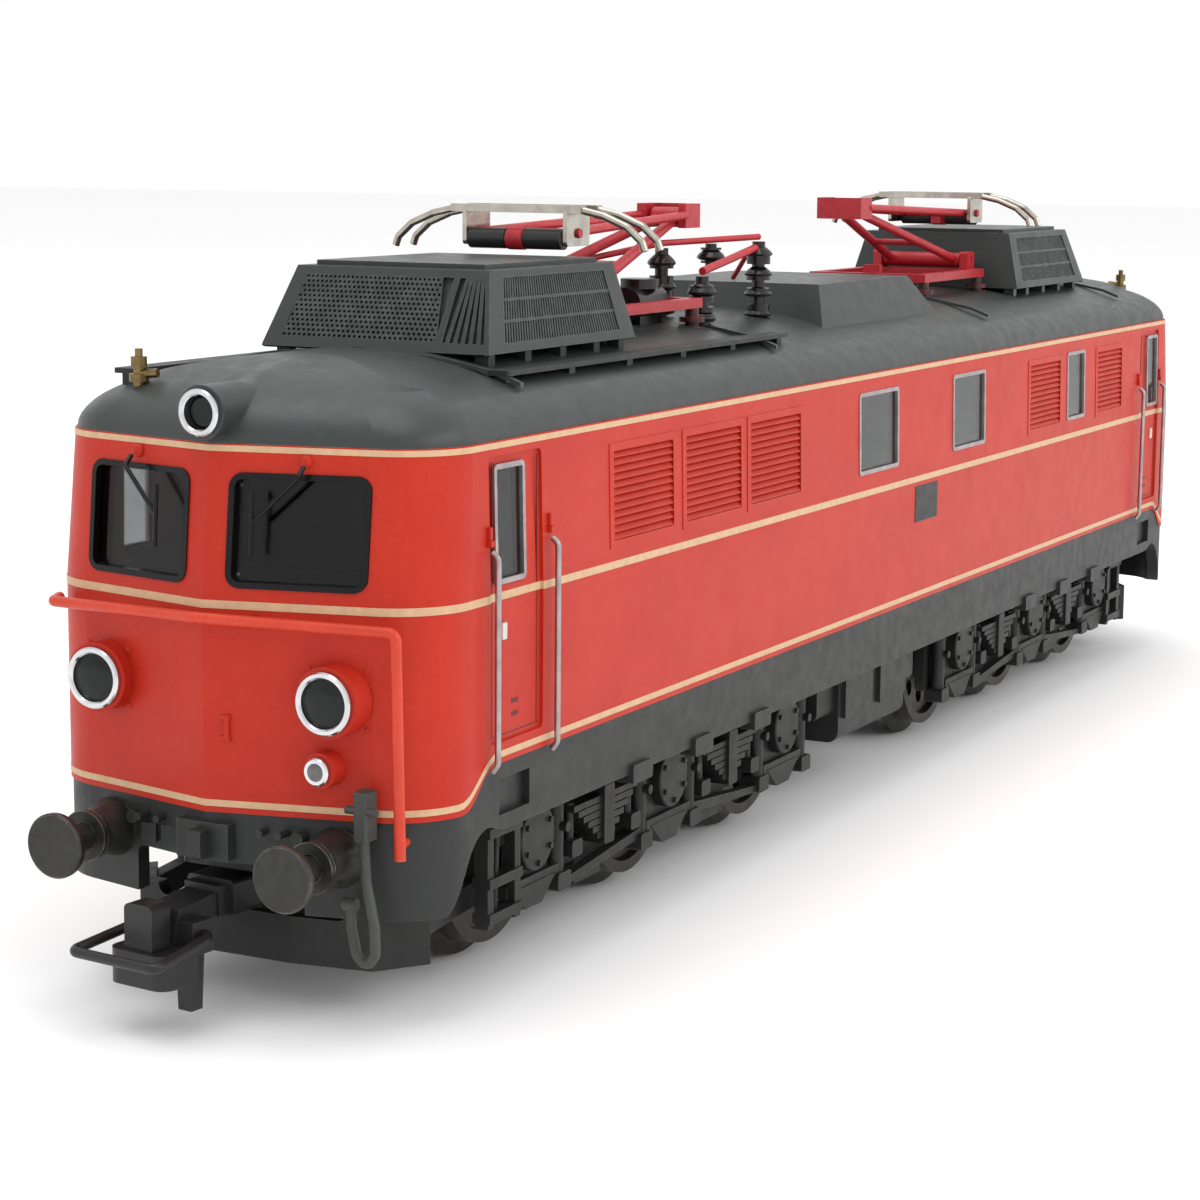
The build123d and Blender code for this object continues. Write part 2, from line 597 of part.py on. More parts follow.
def chassis_screws():
    screws = []
    for x, y in screw_places():
        head = rod((x, y, CHASSIS_Z[1]), (x, y, CHASSIS_Z[1] + 1.1), 1.5)
        slot = block((x - 1.6, x + 1.6), (y - 0.2, y + 0.2), (CHASSIS_Z[1] + 0.6, CHASSIS_Z[1] + 2))
        screws.append(head + screw_shank(x, y) - slot)
    return screws


def motor_housing():
    half_x, half_y, half_z = MOTOR_HALF
    can = soft_block((-half_x, half_x), (-half_y, half_y), (DRIVE_Z - half_z, DRIVE_Z + half_z), 2.5, Axis.X)
    room = rod((-half_x + 2, 0, DRIVE_Z), (half_x - 2, 0, DRIVE_Z), ARMATURE_RADIUS + 0.4)
    bore = rod((-half_x - 1, 0, DRIVE_Z), (half_x + 1, 0, DRIVE_Z), SHAFT_RADIUS + RUNNING)
    return MIDDLE * (can - room - bore)


def motor_rotor():
    """Skewed five-pole armature drawn with plain slots, and its shaft."""
    core = rod((-ARMATURE_HALF, 0, DRIVE_Z), (ARMATURE_HALF, 0, DRIVE_Z), ARMATURE_RADIUS)
    poles = 5
    for i in range(poles):
        angle = 2 * math.pi * i / poles
        y, z = ARMATURE_RADIUS * math.cos(angle), ARMATURE_RADIUS * math.sin(angle)
        core -= rod((-ARMATURE_HALF, y, DRIVE_Z + z), (ARMATURE_HALF, y, DRIVE_Z + z), 0.9)
    return MIDDLE * (core + rod((-SHAFT_END_X, 0, DRIVE_Z), (SHAFT_END_X, 0, DRIVE_Z), SHAFT_RADIUS))


def flywheels():
    low, high = FLYWHEEL_X
    wheel = tube((low, 0, DRIVE_Z), (high, 0, DRIVE_Z), FLYWHEEL_RADIUS, SHAFT_RADIUS)
    wheel = chamfer(wheel.edges().filter_by(lambda e: e.length > FLYWHEEL_RADIUS * 6), 0.5)
    return both_ends(MIDDLE * wheel)


def cardan_shafts():
    low, high = CARDAN_X
    shaft = rod((low, 0, DRIVE_Z), (high, 0, DRIVE_Z), CARDAN_RADIUS)
    cross = rod((high - 0.8, -2.2, DRIVE_Z), (high - 0.8, 2.2, DRIVE_Z), 0.4)
    bore = rod((low, 0, DRIVE_Z), (SHAFT_END_X, 0, DRIVE_Z), SHAFT_RADIUS)
    return both_ends(MIDDLE * (shaft + cross - bore))


def circuit_board():
    board = block((-58.0, 58.0), (-9.0, 9.0), (32.0, 33.0))
    posts = [block((x, x + 2), (-8.6, 8.6), (CHASSIS_Z[1], 32.0)) for x in (-21.4, 19.4)]
    places = [(x, y) for x in (-50, -36, -24, 20, 34, 46) for y in (-6, 3)]
    chips = [block((x, x + 4.0), (y, y + 3.0), (33.0, 34.2)) for x, y in places]
    return MIDDLE * (Part() + [board, *posts, *chips])


def gear(teeth, centre, phase, bore):
    """Spur gear about a Y axis, with straight-flanked teeth and a little backlash."""
    pitch_radius = teeth * MODULE / 2
    root, tip = pitch_radius - 0.45, pitch_radius + 0.3
    step = 2 * math.pi / teeth
    points = []
    for i in range(teeth):
        middle = phase + i * step
        for share, radius in ((-0.32, root), (-0.12, tip), (0.12, tip), (0.32, root)):
            angle = middle + share * step
            points.append((centre[0] + radius * math.cos(angle), centre[1] + radius * math.sin(angle)))
    blank = extrude(Plane.XZ * make_face(Polyline(*points, close=True)), GEAR_WIDTH / 2, both=True)
    hub = (centre[0], -4, centre[1]), (centre[0], 4, centre[1])
    return blank - rod(*hub, bore)


def idler_centre():
    span = (IDLER_TEETH + AXLE_GEAR_TEETH) * MODULE / 2 + GEAR_PLAY
    rise = math.sqrt(span**2 - (AXLE_SPACING / 2) ** 2)
    return IDLER_X, WHEEL_Z + rise


def axle_gear(x):
    """Gear on a driven axle, phased to mesh with the idler, which has a tooth at its top."""
    idler_x, idler_z = idler_centre()
    towards = math.atan2(WHEEL_Z - idler_z, x - idler_x)
    lead = (math.pi / 2 - towards) * IDLER_TEETH / AXLE_GEAR_TEETH
    phase = towards + math.pi - lead + math.pi / AXLE_GEAR_TEETH
    return gear(AXLE_GEAR_TEETH, (x, WHEEL_Z), phase, AXLE_RADIUS)


def wheel(x, side):
    """Disc wheel with a coned tread, flange, rim groove and lightening holes."""
    back, flange = WHEEL_BACK_Y, WHEEL_BACK_Y + FLANGE_WIDTH
    face = WHEEL_BACK_Y + WHEEL_WIDTH
    rim = WHEEL_RADIUS + FLANGE_HEIGHT
    profile = [(AXLE_RADIUS, back), (rim - 0.15, back), (rim, back + 0.3)]
    profile += [(WHEEL_RADIUS + 0.15, flange), (WHEEL_RADIUS, flange + 0.2), (WHEEL_RADIUS - 0.1, face)]
    profile += [(WHEEL_RADIUS - 1.1, face), (WHEEL_RADIUS - 1.3, face - 0.7)]
    profile += [(2.4, face - 0.9), (2.2, face), (AXLE_RADIUS, face)]
    points = [(x + radius, side * y, WHEEL_Z) for radius, y in profile]
    disc = revolve(make_face(Polyline(*points, close=True)), Axis((x, 0, WHEEL_Z), (0, 1, 0)), 360)
    count, ring = 8, 4.3
    for i in range(count):
        angle = 2 * math.pi * i / count
        hole = (x + ring * math.cos(angle), WHEEL_Z + ring * math.sin(angle))
        disc -= rod((hole[0], side * (face - 1.6), hole[1]), (hole[0], side * face, hole[1]), 0.9)
    return disc


def wheelset(x):
    axle = rod((x, -AXLE_END_Y, WHEEL_Z), (x, AXLE_END_Y, WHEEL_Z), AXLE_RADIUS)
    pieces = [axle, wheel(x, 1), wheel(x, -1)]
    if x > AXLE_XS[0]:
        pieces.append(axle_gear(x))
    return pieces


def idler_gear():
    x, z = idler_centre()
    blank = gear(IDLER_TEETH, (x, z), math.pi / 2, AXLE_RADIUS - 0.2)
    return [blank, rod((x, -3.4, z), (x, 3.4, z), AXLE_RADIUS - 0.2)]


def worm_z():
    return idler_centre()[1] + IDLER_TEETH * MODULE / 2 + WORM_RADIUS + GEAR_PLAY


def worm():
    """Single-start worm on its shaft, its thread straddling the idler's top tooth."""
    z = worm_z()
    length = WORM_TURNS * WORM_PITCH
    root, tip = WORM_RADIUS - 0.45, WORM_RADIUS + 0.3
    helix = Helix(WORM_PITCH, length, root)
    start = Plane(origin=helix @ 0, z_dir=helix % 0, x_dir=(1, 0, 0))
    rise, wide, narrow = tip - root, 0.32 * WORM_PITCH, 0.12 * WORM_PITCH
    flank = [(-0.12, -wide), (rise, -narrow), (rise, narrow), (-0.12, wide)]
    tooth = make_face(Polyline(*flank, close=True))
    thread = sweep(start * tooth, path=helix, is_frenet=True)
    core = Pos(0, 0, -0.8) * Cylinder(root, length + 1.6, align=(Align.CENTER, Align.CENTER, Align.MIN))
    screw = Pos(IDLER_X - length / 2, 0, z) * Rotation(0, 90, 0) * (core + thread)
    return screw + rod((IDLER_X - 10.6, 0, z), (IDLER_X + 10.6, 0, z), WORM_SHAFT_RADIUS)


def gearbox():
    """Bogie gear case: axle bearings below, worm tower above, open slot for the gears."""
    x, z = idler_centre()
    case = block((AXLE_XS[0] - 6.0, AXLE_XS[2] + 6.5), (-5.5, 5.5), (5.0, 13.4))
    case += soft_block((x - 10.0, x + 10.0), (-4.6, 4.6), (13.0, 27.6), 1.0, Axis.Z)
    case += block((BOGIE_PIVOT_X - 3.0, x - 9.5), (-4.6, 4.6), (13.0, 16.4))
    case += rod((BOGIE_PIVOT_X, 0, 15.0), (BOGIE_PIVOT_X, 0, BOLSTER_Z[1] - 0.3), KING_PIN_RADIUS)
    slot = block((AXLE_XS[1] - 6.2, AXLE_XS[2] + 5.9), (-1.7, 1.7), (4.0, 14.5))
    tower = block((x - 8.8, x + 8.8), (-3.4, 3.4), (12.6, 26.8))
    case = case - slot - tower
    case -= [rod((a, -9, WHEEL_Z), (a, 9, WHEEL_Z), AXLE_RADIUS + RUNNING) for a in AXLE_XS]
    case -= rod((x, -3.45, z), (x, 3.45, z), AXLE_RADIUS - 0.2 + RUNNING)
    case -= rod((x - 12, 0, worm_z()), (x + 12, 0, worm_z()), WORM_SHAFT_RADIUS + RUNNING)
    return case


def axle_cover(x):
    """Round bolted bearing cover over one axle end, on its box and hanger."""
    disc = rod((x, -14.5, 10.4), (x, -12.2, 10.4), 2.75)
    disc = fillet(disc.edges().group_by(Axis.Y)[0], 0.2)
    bolts = []
    for i in range(6):
        angle = math.pi / 6 + i * math.pi / 3
        bx, bz = x + 2.15 * math.cos(angle), 10.4 + 2.15 * math.sin(angle)
        bolts.append(rod((bx, -14.75, bz), (bx, -14.4, bz), 0.25))
    box = soft_block((x - 3.4, x + 3.4), (-13.4, -12.2), (7.0, 12.9), 0.5, Axis.Y)
    trapezoid = [(x - 3.6, 6.6), (x + 3.6, 6.6), (x + 1.4, 4.7), (x - 1.4, 4.7)]
    hanger = prism(trapezoid, Plane.XZ.offset(13.2), 1.8)
    keeper = block((x - 4.4, x + 4.4), (-14.0, -12.2), (6.2, 7.2))
    return [disc, *bolts, box, hanger, keeper]


def leaf_spring(x):
    """Stack of leaves, longest on top, with a buckle and end links."""
    leaves = 6
    stack = []
    for i in range(leaves):
        half = 5.8 - 0.85 * i
        z = 10.9 - 0.62 * i
        stack.append(block((x - half, x + half), (-14.2, -12.2), (z, z + 0.5)))
    buckle = soft_block((x - 0.9, x + 0.9), (-14.5, -12.2), (7.2, 12.2), 0.2, Axis.Y)
    links = [rod((x + s * 5.3, -13.4, 8.4), (x + s * 5.3, -13.4, 11.6), 0.4) for s in (1, -1)]
    ends = [(x + s * 5.4 - 0.9, x + s * 5.4 + 0.9) for s in (1, -1)]
    feet = [soft_block(end, (-14.3, -12.2), (7.2, 8.6), 0.3, Axis.Y) for end in ends]
    return [*stack, buckle, *links, *feet]


def spring_post(x):
    """Upright guide post with a cap and a side pin."""
    post = rod((x, -13.3, 5.2), (x, -13.3, 13.0), 0.75)
    cap = rod((x, -13.3, 12.6), (x, -13.3, 13.3), 1.25)
    foot = soft_block((x - 1.1, x + 1.1), (-14.3, -12.2), (4.9, 6.4), 0.3, Axis.Y)
    pin = rod((x, -14.6, 10.2), (x, -13.0, 10.2), 0.4)
    return [post, cap, foot, pin]


def step_ladder(x):
    """Footstep frame at the outer end of the bogie side."""
    width, bars = 5.2, (5.2, 8.0, 12.0)
    rails = [block((a, a + 0.9), (-14.6, -13.4), (4.8, 13.2)) for a in (x, x + width - 0.9)]
    treads = [block((x, x + width), (-14.8, -13.2), (z, z + 0.8)) for z in bars]
    brace = rod((x + 2.2, -13.9, 6.0), (x + 2.6, -13.9, 12.2), 0.25)
    back = block((x + 0.4, x + width - 0.4), (-13.6, -11.4), (10.6, 12.4))
    return [*rails, *treads, brace, back]


def bogie_side():
    """Outer face of the bogie on -Y: frame plate, axle covers, springs, posts and step."""
    first, middle, last = AXLE_XS
    plate = soft_block((first - 5.5, last + 7.0), (-12.4, -11.3), (6.0, 12.9), 1.0, Axis.Y)
    windows = [soft_block((x - 4.3, x + 4.3), (-13, -11), (7.6, 9.6), 0.6, Axis.Y) for x in midpoints()]
    parts = [plate - windows]
    for x in AXLE_XS:
        parts += axle_cover(x)
    for x in midpoints():
        parts += leaf_spring(x)
    for x in (middle - 4.9, middle + 4.9, last - 4.9, last + 5.2, first + 4.9):
        parts += spring_post(x)
    parts += step_ladder(first - 8.4)
    for near, far in ((middle + 5, last - 5), (middle - 5, first + 5)):
        lever = [(near, 6.9), (far, 5.5), (far, 4.9), (near, 6.0)]
        parts.append(prism(lever, Plane.XZ.offset(13.4), 1.0))
    return parts


def midpoints():
    return [(a + b) / 2 for a, b in zip(AXLE_XS, AXLE_XS[1:])]


def rail_guard():
    """Curved plough ahead of the first wheels, low in the middle for the coupler."""
    nose, shoulder, thick = -92.4, -87.6, 1.1
    points = [(shoulder, -13.4), (nose + 1.0, -10.6), (nose, -4.0)]
    points += [(x, -y) for x, y in reversed(points)]
    inner = [(x + thick, y * 0.93) for x, y in reversed(points)]
    plate = Pos(0, 0, 3.7) * extrude(make_face(Polyline(*points, *inner, close=True)), 4.5)
    plate -= soft_block((-95, -86), (-8.6, 8.6), (7.35, 12), 0.8, Axis.X)
    arm = [(-88.6, 7.4), (-79.0, 8.2), (-79.0, 6.2), (-88.6, 5.4)]
    arms = [prism(arm, Plane.XZ.offset(y), 1.2) for y in (12.0, -12.0)]
    return [plate, *arms]


def bogie_frame():
    """Both bogie sides, the keeper plate that ties them and the rail guard."""
    left = bogie_side()
    right = [mirrored(part) for part in left]
    gear_room = block((AXLE_XS[1] - 6.2, AXLE_XS[2] + 6.2), (-1.7, 1.7), (2.95, 9.0))
    plate = block((AXLE_XS[0] - 5.0, AXLE_XS[2] + 6.5), (-5.0, 5.0), (3.9, 5.0))
    trough = block((AXLE_XS[1] - 7.0, AXLE_XS[2] + 6.8), (-2.6, 2.6), (2.5, 5.0))
    beams = [block((x - 2.4, x + 2.4), (-12.4, 12.4), (3.9, 6.2)) for x in midpoints()]
    beams = [beam - block((-99, 0), (-5.6, 5.6), (5.0, 8)) for beam in beams]
    nose = [block((AXLE_XS[0] - 9.6, AXLE_XS[0] - 4.0), (y, y + 1.1), (6.2, 8.2)) for y in (11.3, -12.4)]
    return Part() + [*left, *right, plate, trough, *beams, *nose, *rail_guard()] - gear_room


def pickups():
    """Spring strips that rub on the backs of the wheels."""
    strips = []
    for side in (1, -1):
        strip = block((AXLE_XS[0] - 2, AXLE_XS[2] + 2), (6.3 * side, 6.5 * side), (10.6, 12.0))
        tips = [rod((x, 6.4 * side, 11.3), (x, 7.0 * side, 11.3), 0.4) for x in AXLE_XS]
        posts = [rod((x, 5.5 * side, 11.3), (x, 6.4 * side, 11.3), 0.6) for x in midpoints()]
        strips.append(Part() + [strip, *tips, *posts])
    return strips


def underfloor_tanks():
    """Battery and tank boxes hung between the bogies."""
    tank = soft_block((-9.0, 9.0), (-14.2, 14.2), (6.0, 16.4), 1.2, Axis.X)
    wings = [soft_block((x, x + 4.6), (-13.6, 13.6), (8.8, 16.4), 0.8, Axis.X) for x in (-13.2, 8.6)]
    lids = [soft_block((x, x + 7.2), (-14.7, 14.7), (8.4, 13.6), 0.4, Axis.Y) for x in (-8.3, 1.1)]
    hangers = [block((x, x + 1.6), (-15.2, 15.2), (13.0, 18.0)) for x in (-8.6, 7.0)]
    return Part() + [tank, *wings, *lids, *hangers] - block((-10.4, 14.9), (-8.1, 8.1), (16.4, 20))


def coupler_mount():
    """Bracket under the buffer beam that carries the coupler's pivot pin."""
    plate = soft_block((-94.0, -84.0), (-5.0, 5.0), (10.9, 12.2), 1.0, Axis.Z)
    pillar = block((-88.0, -84.2), (-4.0, 4.0), (12.2, CHASSIS_Z[0]))
    pin = rod((COUPLER_PIVOT_X, 0, 7.5), (COUPLER_PIVOT_X, 0, 10.9), 0.9)
    cap = rod((COUPLER_PIVOT_X, 0, 7.0), (COUPLER_PIVOT_X, 0, 7.6), 1.5)
    return plate + pillar + pin + cap


def swung(shape):
    """The coupler parts as they stand at rest, swung a little towards +Y."""
    return shape.rotate(Axis((COUPLER_PIVOT_X, 0, 0), (0, 0, 1)), COUPLER_REST_SWING)


def coupler():
    """Hook coupler: shank on its pivot, arched neck, jaw with a raised hook, and trip tail."""
    eye = rod((COUPLER_PIVOT_X, 0, 7.8), (COUPLER_PIVOT_X, 0, 10.4), 2.4)
    shank = block((-96.6, COUPLER_PIVOT_X), (-1.7, 1.7), (7.9, 10.2))
    pocket = soft_block((-95.6, -90.0), (-2.3, 2.3), (7.8, 10.5), 0.4, Axis.X)
    arch = [(-102.0, 4.6), (-100.7, 9.3), (-95.4, 9.9), (-95.4, 8.0), (-98.4, 7.9), (-99.4, 4.6)]
    neck = prism(arch, Plane.XZ, 3.0)
    jaw = soft_block((-103.9, -99.2), (-2.9, 2.9), (4.0, 6.6), 1.2, Axis.Z)
    hinge = block((-100.8, -98.6), (-2.9, 2.9), (6.0, 8.5))
    hook = soft_block((-103.5, -101.5), (-1.35, 1.35), (6.3, 10.1), 0.5, Axis.X)
    tail = prism([(-101.0, 6.2), (-99.3, 6.2), (-99.6, 1.8), (-100.8, 1.8)], Plane.XZ.offset(2.0), 1.3)
    body = Part() + [eye, shank, pocket, neck, jaw, hinge, hook, tail]
    body -= rod((COUPLER_PIVOT_X, 0, 7), (COUPLER_PIVOT_X, 0, 11), 0.9 + RUNNING)
    bore = (LOOP_HINGE_X, -4, LOOP_HINGE_Z), (LOOP_HINGE_X, 4, LOOP_HINGE_Z)
    return swung(body - rod(*bore, LOOP_WIRE + RUNNING))


def coupler_loop():
    """Wire bail that drops over the next vehicle's hook."""
    rear, front, half, z = LOOP_HINGE_X, -106.0, 3.5, LOOP_HINGE_Z
    low = z - 0.9
    side = [(rear, half, z), (front, half + 0.8, low), (front, -half - 0.5, low), (rear, -half, z)]
    return swung(wire(side, LOOP_WIRE, closed=True))


def pantograph_base(form):
    """Base frame on four posts, with the lugs that carry the lower arm."""
    x, z = PAN_BASE
    deck = z - 1.9
    rails = [block((x - 1.6, -27.0), (y - 0.6, y + 0.6), (deck, deck + 0.9)) for y in (-6.4, 6.4)]
    cross = [block((a, a + 1.4), (-6.4, 6.4), (deck, deck + 0.9)) for a in (x - 1.6, x + 1.2, -28.4)]
    lugs = []
    for s in (1, -1):
        lug = soft_block((x - 1.1, x + 1.1), (s * 5.4 - 0.5, s * 5.4 + 0.5), (deck, z + 1.0), 0.3, Axis.Y)
        lugs.append(lug)
    posts = [insulator(a, y, 45.6, deck - 45.6, 1.2) for a in (x - 0.6, -28.0) for y in (-6.4, 6.4)]
    stop = [block((-29.2, -28.4), (-1.0, 1.0), (deck + 0.9, deck + 1.8))]
    frame = Part() + [*rails, *cross, *lugs, *stop] - rod((x, -8, z), (x, 8, z), PAN_PIN + RUNNING)
    return [frame, *[post - form for post in posts]]


def pantograph_lower():
    """Lower arm: pivot tube, two converging tubes and the knee eye."""
    (bx, bz), (kx, kz) = PAN_BASE, PAN_KNEE
    pivot = rod((bx, -4.7, bz), (bx, 4.7, bz), 0.85)
    pins = rod((bx, -5.8, bz), (bx, 5.8, bz), PAN_PIN)
    arms = [rod((bx, s * 4.0, bz), (kx, s * 0.9, kz), 0.5) for s in (1, -1)]
    brace = rod((bx + 9, -2.9, bz + 2.23), (bx + 9, 2.9, bz + 2.23), 0.35)
    eye = rod((kx, -1.5, kz), (kx, 1.5, kz), 0.95)
    return Part() + [pivot, pins, *arms, brace, eye] - rod((kx, -3, kz), (kx, 3, kz), PAN_PIN + RUNNING)


def pantograph_upper():
    """Upper arm: knee yoke with its pin, two diverging tubes and the head tube."""
    (kx, kz), (hx, hz) = PAN_KNEE, PAN_HEAD
    height = (kz - 1.0, kz + 1.3)
    cheeks = [block((kx - 1.6, kx + 1.6), (y - 0.4, y + 0.4), height) for y in (2.2, -2.2)]
    back = block((kx + 1.15, kx + 1.6), (-2.4, 2.4), (kz - 1.0, kz + 1.3))
    pin = rod((kx, -2.2, kz), (kx, 2.2, kz), PAN_PIN)
    tubes = [rod((kx - 1.2, s * 2.3, kz + 0.2), (hx, s * 4.1, hz), 0.42) for s in (1, -1)]
    brace = rod((-33, -3.2, 57.87), (-33, 3.2, 57.87), 0.3)
    slant = rod((-24, -2.5, 58.26), (-41, 3.7, 57.62), 0.22)
    head = rod((hx, -5.4, hz), (hx, 5.4, hz), PAN_PIN)
    return Part() + [*cheeks, back, pin, *tubes, brace, slant, head]


def pantograph_head():
    """Collector head: two strips with down-turned horns, and the end plates under them."""
    hx, hz = PAN_HEAD
    strip_z = 59.45
    parts = []
    for x in (hx - 1.5, hx + 1.5):
        droop = [(6.0, 0.0), (8.4, 0.5), (10.6, 1.4), (12.0, 2.6), (12.3, 3.4)]
        right = [(x, y, strip_z - drop) for y, drop in droop]
        left = [(x, -y, z) for x, y, z in reversed(right)]
        parts.append(wire(left + right, 0.33))
        parts.append(block((x - 0.5, x + 0.5), (-6.4, 6.4), (strip_z - 0.3, strip_z + 0.35)))
    for s in (1, -1):
        thick = (s * 4.95 - 0.2, s * 4.95 + 0.2)
        plate = soft_block((hx - 2.1, hx + 2.1), thick, (hz - 1.1, strip_z), 0.4, Axis.Y)
        parts.append(plate)
    head = Part() + parts
    head -= rod((hx, -8, hz), (hx, 8, hz), PAN_PIN + RUNNING)
    return [head]


def build():
    os.makedirs("parts", exist_ok=True)
    form, core = body_form(0.0), body_form(-WALL, SHELL_Z - 1, ROOF_EDGE_Z)
    roof = roof_form()
    roof_solid = roof + roof_hood_form()
    save("body_shell", body_shell(form, core))
    seals, frames, panes = fitted_windows()
    save("windscreen_seals", *seals)
    save("window_frames", *frames)
    save("window_glazing", *panes)
    rims, lenses = lamp_rims_and_lenses()
    save("lamp_rims", *rims)
    save("lamp_lenses", *lenses)
    skirt = underframe_skirt()
    save("underframe_skirt", skirt)
    save("roof_shell", roof_shell(roof))
    save("roof_coolers", *both_ends(roof_cooler(roof)))
    save("roof_insulators", *roof_line(roof_solid))
    save("roof_busbars", *busbars())
    walkways = roof_walkways(roof_solid)
    save("roof_walkways", *walkways, turned(walkways[0]))
    save("roof_whistles", *both_ends(whistle(roof)))
    save("end_handrails", *both_ends(end_handrail()))
    save("door_handrails", *door_handrails())
    save("wipers", *both_ends(*wipers()))
    save("cab_interiors", *both_ends(cab_interior()))
    save("buffer_sleeves", *both_ends(buffer_sleeve(1, skirt), buffer_sleeve(-1, skirt)))
    save("brake_hoses", *both_ends(brake_hose()))
    save("chassis_block", chassis_block())
    save("chassis_screws", *chassis_screws())
    save("motor_housing", motor_housing())
    save("motor_rotor", motor_rotor())
    save("flywheels", *flywheels())
    save("cardan_shafts", *cardan_shafts())
    save("circuit_board", circuit_board())
    save("underfloor_tanks", underfloor_tanks())
    save("coupler_mounts", *both_ends(coupler_mount()))
    end_parts = {
        "buffer_plunger_left": [buffer_plunger(1)],
        "buffer_plunger_right": [buffer_plunger(-1)],
        "bogie_frame": [bogie_frame()],
        "gearbox": [gearbox()],
        "pickups": pickups(),
        "worm": [worm()],
        "idler_gear": idler_gear(),
        "coupler": [coupler()],
        "coupler_loop": [coupler_loop()],
        "pantograph_base": pantograph_base(roof),
        "pantograph_lower_arm": [pantograph_lower()],
        "pantograph_upper_arm": [pantograph_upper()],
        "pantograph_head": pantograph_head(),
    }
    for name, shapes in end_parts.items():
        save(f"{name}_front", *shapes)
        save(f"{name}_rear", *[turned(shape) for shape in shapes])
    for number, x in enumerate(AXLE_XS, 1):
        shapes = wheelset(x)
        save(f"wheelset_{number}", *shapes)
        save(f"wheelset_{7 - number}", *[turned(shape) for shape in shapes])


build()
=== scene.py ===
import math

import bmesh
import bpy
from mathutils import Matrix, Vector


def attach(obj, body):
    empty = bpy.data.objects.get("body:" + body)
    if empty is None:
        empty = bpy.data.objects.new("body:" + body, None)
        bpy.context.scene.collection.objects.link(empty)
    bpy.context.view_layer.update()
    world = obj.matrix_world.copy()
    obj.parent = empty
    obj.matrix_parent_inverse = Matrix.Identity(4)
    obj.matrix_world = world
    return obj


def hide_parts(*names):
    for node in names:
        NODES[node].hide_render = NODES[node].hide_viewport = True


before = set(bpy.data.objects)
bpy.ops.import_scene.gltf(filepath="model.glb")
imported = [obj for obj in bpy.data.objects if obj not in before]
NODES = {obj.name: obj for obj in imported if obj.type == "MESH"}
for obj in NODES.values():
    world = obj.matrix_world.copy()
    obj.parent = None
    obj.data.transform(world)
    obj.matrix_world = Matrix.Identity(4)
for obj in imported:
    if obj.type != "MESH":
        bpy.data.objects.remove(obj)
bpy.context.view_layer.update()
MM = 0.001

# ---------------------------------------------------------------- body shape, millimetres
NOSE_X = 99.85
NOSE_TOP_X = 98.65
NOSE_SLOPE = 0.23
CORNER = 6.0
SIDE_Y = 17.45
SIDE_TOP_Y = 17.18
BELT_Z = 31.7
ROOF_EDGE_Z = 43.3
DOOR_X = (79.65, 87.85)
DOOR_Z = (20.6, 42.2)
DOOR_DEPTH = 0.25
SOLE_Z = 19.0
APRON_TOP_Z = 16.1
SOLE_BEND_X = (86.75, 92.25)

# Lining on the body: lower and upper edge of each line
ROOF_LINE_Z = (42.75, 43.2)
BELT_LINE_Z = (31.35, 31.95)
FINE_LINE_Z = (32.3, 32.38)
SOLE_LINE_RISE = (0.45, 0.95)

# Cab fittings, at the near end
HEADLAMP_X, HEADLAMP_Y, HEADLAMP_Z = -99.69, 10.2, 25.1
HEADLAMP_BOLT_CIRCLE = 3.05
TAIL_LAMP_X, TAIL_LAMP_Y, TAIL_LAMP_Z = (-99.2, -99.64), -9.5, 20.0
DOOR_RAIL_X = (-88.05, -78.65)
WIPER_Y, WIPER_Z = 7.4, 42.2
LATCH_Y = 1.87

# Louvre panels, on the side that the camera sees
LOUVRE_X = ((-67.65, -56.65), (-54.15, -42.95), (-40.85, -29.65), (36.25, 47.05), (61.55, 71.45))
LOUVRE_Z = (33.6, 40.8)
SLATS = 12
LOUVRE_BORDER = 0.65
LOUVRE_POST = 0.7

# Cooler cowl, at the near end
COWL_Z = (48.7, 55.1)
COWL_FOOT_X, COWL_FOOT_Y = (-76.05, -50.45), 10.6
COWL_HEAD_X, COWL_HEAD_Y = (-73.05, -51.65), 8.95
COWL_LID_X, COWL_LID_Y, COWL_LID_RISE = (-71.85, -52.65), 7.9, 0.4
COWL_FEET_X, COWL_FEET_Y, COWL_FEET_Z = (-74.85, -68.85, -62.85, -56.85, -52.25), (-9.9, 8.7), 46.8
COWL_SKIN = 0.4
COWL_OPENING = (0.12, 0.9)
PUNCHED_ROWS, PUNCHED_COLUMNS = 13, 30
FAN_SLATS = 5
FINS = 46

# Roof: the arch as (distance from the middle, height), and the posts as x, y, foot height and length
ROOF_ARCH = ((14.6, 46.75), (12.6, 47.5), (8.0, 48.35))
ROOF_CROWN_Z = 48.98
SEAM_X = (-78.2, -29.4)
POSTS = (
    (-14.35, -6.0, 48.0, 7.8),
    (-27.25, -6.0, 48.0, 4.9),
    (-26.75, -1.5, 48.6, 6.8),
    (-20.55, -3.75, 53.6, 2.1),
)
SPRING_TUBE_X, SPRING_TUBE_Z, SPRING_TUBE_Y = -52.25, 56.9, 4.7

# Camera, solved from the photograph: place in millimetres, angles in degrees
EYE = (-264.90, -117.08, 64.77)
YAW, PITCH, ROLL = 27.09, 9.25, 0.48
LENS = 83.46


# ---------------------------------------------------------------- materials
def srgb(red, green, blue):
    """Linear colour of an sRGB colour given from 0 to 255."""
    shares = [c / 255 for c in (red, green, blue)]
    return tuple(((s + 0.055) / 1.055) ** 2.4 if s > 0.04045 else s / 12.92 for s in shares) + (1.0,)


